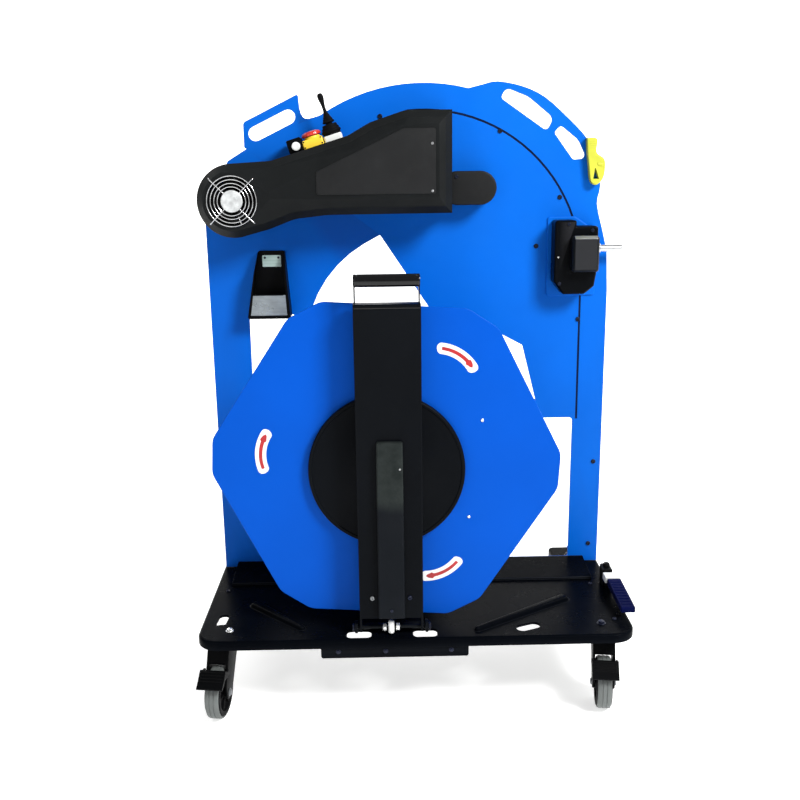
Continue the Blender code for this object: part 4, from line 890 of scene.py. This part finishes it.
# ---------------------------------------------------------------- coil holder
def build_holder():
    low, high = node_box("holder_arm")
    dress("holder_arm", ARM_BLACK, "holder", "arm", 0.0016, 3)
    dress("hinge_mount", ARM_BLACK, "frame", "arm", 0.0009, 2)
    dress("arm_cover_strip", STRIP, "holder", "arm", 0.0012, 3)
    bm = bmesh.new()
    tube(bm, [(low.x + 0.0016, low.y + 0.0002, high.z - 0.0058), (high.x - 0.0016, low.y + 0.0002, high.z - 0.0058)],
            0.0021, 14)
    place("arm_top_bead", bm, HANDLE_BLACK, "holder", "arm")
    fasteners("arm_bolt_bright", socket_screw, CAST_GREY, "holder", "steel", -Y_AXIS, 0.0046, 0.003,
            [(-0.0835, low.y, 0.244)])
    fasteners("arm_bolts", socket_screw, DARK_SCREW, "holder", "arm", -Y_AXIS, 0.0046, 0.003, [(-0.013, low.y, 0.244)])
    strip = node_box("arm_cover_strip")[0]
    fasteners("strip_screws", socket_screw, STEEL, "holder", "arm", -Y_AXIS, 0.0018, 0.001, [(-0.029, strip.y, 0.5)])
    fasteners("strip_foot_screw", socket_screw, DARK_SCREW, "holder", "arm", -Y_AXIS, 0.003, 0.0016,
            [(-0.0475, strip.y, 0.223)])

    grip_low, grip_high = node_box("pull_handle")
    bar_y, bar_z = (grip_low.y + grip_high.y) / 2, grip_high.z - 0.0115
    length = grip_high.x - grip_low.x
    bm = bmesh.new()
    profile = mm((0, 0), (9.5, 0), (11, 0.6), (11.5, 2), (11.5, 6), (11.2, 6.4), (11.2, 7), (11.5, 7.4))
    profile += [(r, length - h) for r, h in profile[::-1]]
    revolve(bm, profile, facing((grip_low.x, bar_y, bar_z), X_AXIS), 48)
    for x in (grip_low.x + 0.0006, grip_high.x - 0.0034):
        slab(bm, box_outline(bar_y - 0.006, high.z - 0.0002, bar_y + 0.006, bar_z, 0.0008), "X", x, x + 0.0028, 0.0005,
                0.0005, 2)
    place("pull_handle_bar", bm, HANDLE_BLACK, "holder", "arm", ("pull_handle",), limit=35)

    bm = bmesh.new()
    rod = mm((0, 0), (4.2, 0), (5, 0.8), (5, 12), (3.4, 13.6), (3.4, 136.4), (5, 138), (5, 149.2), (4.2, 150), (0, 150))
    revolve(bm, rod, facing((-0.123, PIN_Y, PIN_Z), X_AXIS), 28)
    place("hinge_pin_rod", bm, CRANK_FACE, "holder", "steel", ("hinge_pin",), limit=25)
    for side, x, turn in (("left", -0.0645, 0.2), ("right", -0.0395, 0.9)):
        bm = bmesh.new()
        profile = mm((0, 0), (7.4, 0), (7.8, 0.4), (7.8, 1.2), (7, 1.4), (7, 1.5, 6), (7.6, 2.2, 6))
        profile += mm((7.6, 6.2, 6), (7, 6.8, 6), (0, 6.8))
        revolve(bm, profile, facing((x, PIN_Y, PIN_Z), X_AXIS, turn), 36)
        place(f"hinge_nut_{side}", bm, ZINC, "holder", "steel", limit=25)
    bm = bmesh.new()
    profile = mm((0, -15), (3, -14.6), (4.8, -13.4), (5.7, -11.4), (5.8, -9), (5.8, 7), (5.6, 9.2), (4.6, 11))
    profile += mm((2.8, 11.9), (0, 12.2))
    revolve(bm, profile, facing((-0.0485, PIN_Y - 0.003, PIN_Z + 0.003), Z_AXIS), 28)
    place("hinge_cross_stud", bm, WHITE, "holder", "steel", limit=50)
    bm = bmesh.new()
    for x in (-0.122, 0.0224):
        revolve(bm, mm((0, 0), (7.2, 0), (7.8, 0.6), (7.8, 2.8), (7.2, 3.4), (0, 3.4)),
                facing((x, PIN_Y, PIN_Z), X_AXIS), 24)
    place("hinge_pin_clips", bm, DARK_SCREW, "holder", "arm")

    low, high = node_box("hub_plate")
    hub_x, hub_z, radius = (low.x + high.x) / 2, (low.z + high.z) / 2, (high.x - low.x) / 2
    thick = high.y - low.y
    bm = bmesh.new()
    profile = [(0, 0), (radius - 0.0012, 0), (radius, 0.0012), (radius, thick - 0.0026),
            (radius - 0.0008, thick - 0.0009)]
    profile += [(radius - 0.0026, thick), (radius - 0.0062, thick), (radius - 0.0078, thick - 0.0012),
            (radius * 0.56, thick - 0.0014)]
    profile += [(radius * 0.54, thick - 0.0004), (0, thick - 0.0004)]
    revolve(bm, profile, facing((hub_x, high.y, hub_z), -Y_AXIS), 144)
    place("hub_plate_turned", bm, ARM_BLACK, "holder", "arm", ("hub_plate",), limit=20)
    low, high = node_box("coil_axle")
    bm = bmesh.new()
    length = high.y - low.y
    profile = [(0, 0), (0.015, 0), (0.015, length - 0.018), (0.0138, length - 0.0174), (0.0138, length - 0.001),
            (0.0126, length), (0.004, length), (0.003, length - 0.0016), (0, length - 0.003)]
    revolve(bm, profile, facing((COIL_X, low.y, COIL_Z), Y_AXIS), 48)
    place("coil_axle_turned", bm, STEEL, "holder", "steel", ("coil_axle",), limit=25)


def bent(outline, angle, radius, reach=0.078):
    """An outline drawn along and across a straight arrow, bent into a short arc on the disc; clockwise is forward."""
    x = COIL_X + (radius - reach) * math.cos(angle)
    z = COIL_Z + (radius - reach) * math.sin(angle)
    return [(x + (reach + t) * math.cos(angle - s / reach), z + (reach + t) * math.sin(angle - s / reach)) for s,
            t in outline]


def dense(outline, step=0.003):
    points = []
    for i, a in enumerate(outline):
        b = outline[(i + 1) % len(outline)]
        pieces = max(1, round(math.dist(a, b) / step))
        points += [(a[0] + (b[0] - a[0]) * k / pieces, a[1] + (b[1] - a[1]) * k / pieces) for k in range(pieces)]
    return points


def build_coil():
    dress("coil_disc", DISC_BLUE, "coil", "blue", 0.0012, 3, 20)
    front = node_box("coil_disc")[0].y
    half = 0.0345
    white = dense(rounded([(-half - 0.0072, -0.0104, 0.008), (half + 0.007, -0.0104, 0.008), (half + 0.0095, 0, 0.004),
                           (half + 0.007, 0.0104, 0.008), (-half - 0.0072, 0.0104, 0.008), (-half - 0.0095, 0,
                                   0.004)], 6))
    red = dense(rounded([(-half, -0.003, 0.001), (half - 0.016, -0.0034, 0), (half - 0.0125, -0.0062, 0.001),
            (half - 0.003, -0.003, 0.002),
                         (half, 0.0004, 0.0006), (half - 0.005, 0.004, 0.002), (half - 0.0125, 0.0062,
                                 0.001), (half - 0.016, 0.0034, 0), (-half, 0.003, 0.001)], 4))
    for name, outline, mat, slot, near, far in (("decal_ground", white, DECAL_WHITE, "white", 0.00035, -0.0001),
            ("decal_arrow", red, DECAL_RED, "red", 0.0006, 0.0003)):
        for i, (angle, radius) in enumerate(((56.6, 0.247), (172.9, 0.236), (-64.3, 0.243))):
            plate(f"{name}_{i}", bent(outline, math.radians(angle), radius), "Y", front - near, front - far, (), mat,
                    "coil", slot)
    fasteners("disc_screws", socket_screw, ZINC, "coil", "steel", -Y_AXIS, 0.003, 0.0016,
            [(0.126, front, 0.573), (0.102, front, 0.384)])

    low, high = node_box("coil_drum")
    axis = facing((COIL_X, low.y, COIL_Z), Y_AXIS)
    bm = bmesh.new()
    shell = [(0.0165, 0), (0.199, 0), (0.2, 0.001)]
    for h in (0.03, 0.075, 0.12):
        shell += [(0.2, h - 0.004), (0.1985, h - 0.002), (0.1985, h + 0.002), (0.2, h + 0.004)]
    shell += [(0.2, 0.149), (0.199, 0.15), (0.196, 0.15), (0.196, 0.004), (0.036, 0.004), (0.034, 0.006),
            (0.034, 0.156), (0.0165, 0.156)]
    revolve(bm, shell, axis, 120)
    place("coil_drum_turned", bm, SATIN_BLACK, "coil", "channel", ("coil_drum",), limit=25)
    keeper = node_box("keeper_ring")[0].y
    thick = 0.004
    bm = bmesh.new()
    revolve(bm, [(0.156, 0), (0.237, 0), (0.238, 0.001), (0.238, thick - 0.001), (0.237, thick), (0.156, thick),
            (0.155, thick - 0.001), (0.155, 0.001)],
            facing((COIL_X, keeper, COIL_Z), Y_AXIS), 120)
    for i in range(3):
        turn = Matrix.Translation((COIL_X, 0, COIL_Z)) @ Matrix.Rotation(math.tau * i / 3, 4, "Y")
        slab(bm, box_outline(0.038, -0.0125, 0.159, 0.0125, 0.002), "Y", keeper + 0.0002, keeper + thick - 0.0002,
                0.0006, 0.0006, 2, turn)
    revolve(bm, mm((35, 0), (44, 0), (45, 1), (45, 5.6), (44, 6.2), (35, 6.2)),
            facing((COIL_X, keeper, COIL_Z), Y_AXIS), 64)
    place("keeper_spider", bm, DISC_BLUE, "coil", "blue", ("keeper_ring",), limit=25)
    bm = bmesh.new()
    for i in range(3):
        a = math.tau * i / 3
        for reach in (0.04, 0.168):
            hex_bolt(bm, (COIL_X + reach * math.cos(a), keeper + thick + (0.0022 if reach < 0.1 else 0),
                    COIL_Z - reach * math.sin(a)), Y_AXIS, 0.0036, 0.0034, 1.3)
    place("keeper_bolts", bm, ZINC, "coil", "steel")


# ---------------------------------------------------------------- casters and pedal
CASTERS = {
    "front_left": (-0.3785, 0.059, -98.0),
    "front_right": (0.369, 0.0665, -98.4),
    "rear_left": (-0.361, 0.388, 72.0),
    "rear_right": (0.36, 0.388, 104.0),
}
WHEEL_R, TRAIL = 0.05, 0.038


def build_caster(name, x, y, yaw, braked):
    """One caster, modelled with its trail along +X, then turned and moved to its place."""
    spot = Matrix.Translation((x, y, 0)) @ Matrix.Rotation(math.radians(yaw), 4, "Z")
    top = node_box(f"{name}_fork")[1].z
    bm = bmesh.new()
    head = mm((0, 129), (22.5, 129), (25.5, 130.5), (26.2, 134), (25, 136.8), (25, 138.5), (26.8, 140), (27, 144))
    head += [(0.0255, 0.1465), (0.0255, 0.148), (0.027, 0.15), (0.027, top - 0.0015), (0.0258, top), (0, top)]
    revolve(bm, head, Matrix.Identity(4), 48)
    side = metres((-26.5, 135, 4), (-22.5, 108.5, 12), (23, 40, 10), (50, 37, 12), (55.5, 70, 20), (26.5, 135, 4))
    for low in (-0.0215, 0.0169):
        slab(bm, rounded(side, 6), "Y", low, low + 0.0046, 0.0012, 0.0012, 3)
    slab(bm, rounded(metres((-26.2, 134.5, 3), (-22.8, 110, 5), (-15, 104, 4), (33, 104, 4), (38.2, 108.5, 4),
            (26.2, 134.5, 3)), 5),
         "Y", -0.0188, 0.0188, 0.0008, 0.0008, 2)
    place(f"{name}_yoke", bm, SATIN_BLACK, f"{name}_swivel", "caster", (f"{name}_fork",), matrix=spot, limit=28)
    bm = bmesh.new()
    hex_bolt(bm, (TRAIL, -0.0215, WHEEL_R), -Y_AXIS, 0.006, 0.0036, 1.3)
    hex_bolt(bm, (TRAIL, 0.0215, WHEEL_R), Y_AXIS, 0.006, 0.0036, 1.3)
    place(f"{name}_axle_nuts", bm, CAST_GREY, f"{name}_swivel", "steel", matrix=spot)

    wheel = facing((TRAIL, 0, WHEEL_R), Y_AXIS)
    tread = mm((40, -12.8), (47, -13.2), (48.8, -12.2), (49.7, -9.8), (50, -6), (50, -5.2), (49, -4.6), (49, -3.6),
            (50, -3))
    turned(f"{name}_tread", tread + [(r, -h) for r, h in tread[::-1]], wheel, 80, TYRE_GREY, f"{name}_wheel", "tyre",
            (f"{name}_tyre",), matrix=spot, limit=30)
    bm = bmesh.new()
    core = mm((0, -15), (8.5, -15), (10.5, -13.8), (11.2, -9.6), (30, -7.8), (34.5, -9.6), (36.2, -14.2), (38, -15),
            (44, -14.8), (46.2, -12.8), (46.6, -10))
    revolve(bm, core + [(r, -h) for r, h in core[::-1]], wheel, 64)
    for i in range(6):
        spoke = wheel @ Matrix.Rotation(math.tau * i / 6, 4, "Z")
        for low in (-0.0132, 0.0072):
            slab(bm, [(0.01, -0.0016), (0.0355, -0.0013), (0.0355, 0.0013), (0.01, 0.0016)], "Z", low, low + 0.006,
                    0.0006, 0.0006, 2, spoke)
    place(f"{name}_core", bm, RUBBER, f"{name}_wheel", "hub", (f"{name}_hub",), matrix=spot, limit=28)
    if braked:
        dress(f"{name}_brake", SATIN_BLACK, f"{name}_brake", "caster", 0.0012, 2, 28)
        bm = bmesh.new()
        for i in range(4):
            t = (i + 0.7) / 4.6
            start = Vector((0.0665 + 0.019 * t, 0, 0.1105 - 0.0185 * t))
            slab(bm, box_outline(start.x - 0.0008, start.z - 0.0008, start.x + 0.001, start.z + 0.001, 0.0004, 2), "Y",
                    -0.0215, 0.0215, 0.0003, 0.0003, 2)
        place(f"{name}_brake_ribs", bm, RUBBER, f"{name}_brake", "caster", matrix=spot)


def build_pedal():
    dress("pedal_mount", SATIN_BLACK, "frame", "caster", 0.0016, 3)
    dress("pedal_yoke", WHITE, "pedal", "steel", 0.0014, 3)
    dress("pedal_pad", NAVY, "pedal", "navy", 0.0018, 3)
    low, high = node_box("pedal_pad")
    bm = bmesh.new()
    for i in range(9):
        y = low.y + 0.012 + 0.0115 * i
        top = 0.191 + (0.198 - 0.191) * (y - low.y) / (high.y - low.y)
        slab(bm, box_outline(low.x + 0.003, y, high.x - 0.003, y + 0.004, 0.0015), "Z", top - 0.0015, top + 0.0011, 0,
                0.0007, 2)
    place("pedal_ribs", bm, NAVY, "pedal", "navy")
    fasteners("pedal_pin", hex_bolt, ZINC, "pedal", "steel", X_AXIS, 0.0042, 0.0036, [(0.4265, 0.1945, 0.1935)])
    turned("pedal_stop_nub", mm((0, 0), (7, 0), (7.8, 1), (7, 6), (5.2, 7.8), (0, 8.2)),
            facing((0.409, 0.226, 0.206), Z_AXIS), 28, RUBBER, "frame", "rubber")


build_base()
build_housing()
build_battery()
build_cover()
build_fan()
build_controls()
build_fittings()
build_holder()
build_coil()
for caster, (x, y, yaw) in CASTERS.items():
    build_caster(caster, x, y, yaw, caster.startswith("front"))
build_pedal()


# ---------------------------------------------------------------- floor, light and camera
def build_stage():
    paper = surface("pale_backdrop", (0.86, 0.86, 0.855), 0.8, 0.006, 0.8, patch=0.04, grain=0.03, grit=60,
                    gloss=0.1, Emission_Color=(1.0, 1.0, 0.995, 1.0), Emission_Strength=0.6)
    sweep = [(-9.0, 0.0), (3.2, 0.0)] + [(3.2 + 2.2 * math.sin(a),
            2.2 - 2.2 * math.cos(a)) for a in (math.pi / 2 * k / 16 for k in range(1, 17))]
    sweep += [(5.4, 8.0)]
    bm = bmesh.new()
    rows = [[bm.verts.new((x, y, z)) for x in (-11.0, 11.0)] for y, z in sweep]
    for first, second in zip(rows, rows[1:]):
        bm.faces.new((first[0], first[1], second[1], second[0]))
    mesh = bpy.data.meshes.new("backdrop")
    bm.to_mesh(mesh)
    bm.free()
    mesh.shade_smooth()
    mesh.materials.append(paper)
    backdrop = bpy.data.objects.new("backdrop", mesh)
    bpy.context.scene.collection.objects.link(backdrop)

    world = bpy.data.worlds.new("studio")
    world.use_nodes = True
    sky = world.node_tree.nodes["Background"]
    sky.inputs["Color"].default_value = (1.0, 1.0, 0.995, 1.0)
    sky.inputs["Strength"].default_value = 0.32
    bpy.context.scene.world = world
    lamps = {
        "key": ((1.9, -1.9, 2.7), (0.0, 0.1, 0.6), (0.9, 0.9), 150.0),
        "fill": ((-1.6, -2.6, 1.6), (0.0, 0.1, 0.6), (2.0, 2.0), 9.0),
        "backdrop_left": ((-2.6, 2.2, 3.4), (-1.4, 5.0, 0.9), (1.5, 1.5), 130.0),
        "backdrop_right": ((2.6, 2.2, 3.4), (1.4, 5.0, 0.9), (1.5, 1.5), 130.0),
    }
    for name, (spot, target, size, power) in lamps.items():
        lamp = bpy.data.lights.new(name, "AREA")
        lamp.shape, lamp.size, lamp.size_y, lamp.energy = "RECTANGLE", *size, power
        obj = bpy.data.objects.new(name, lamp)
        obj.matrix_world = Matrix.Translation(spot) @ (Vector(target) - Vector(spot)).to_track_quat("-Z",
                "Y").to_matrix().to_4x4()
        bpy.context.scene.collection.objects.link(obj)


def build_camera():
    yaw, pitch, roll = 0.0157, -0.2338, -0.0124
    ahead = Vector((math.sin(yaw) * math.cos(pitch), math.cos(yaw) * math.cos(pitch), math.sin(pitch)))
    level = Vector((math.cos(yaw), -math.sin(yaw), 0))
    rise = level.cross(ahead)
    right = math.cos(roll) * level + math.sin(roll) * rise
    up = -math.sin(roll) * level + math.cos(roll) * rise
    data = bpy.data.cameras.new("camera")
    data.sensor_width, data.lens = 36.0, 42.72
    data.clip_end = 100.0
    camera = bpy.data.objects.new("camera", data)
    turn = Matrix((right, up, -ahead)).transposed().to_4x4()
    camera.matrix_world = Matrix.Translation(Vector((-0.0529, -1.6411, 1.0197)) + SHIFT) @ turn
    bpy.context.scene.collection.objects.link(camera)
    bpy.context.scene.camera = camera


build_stage()
build_camera()
bpy.context.scene.view_settings.view_transform = "Standard"
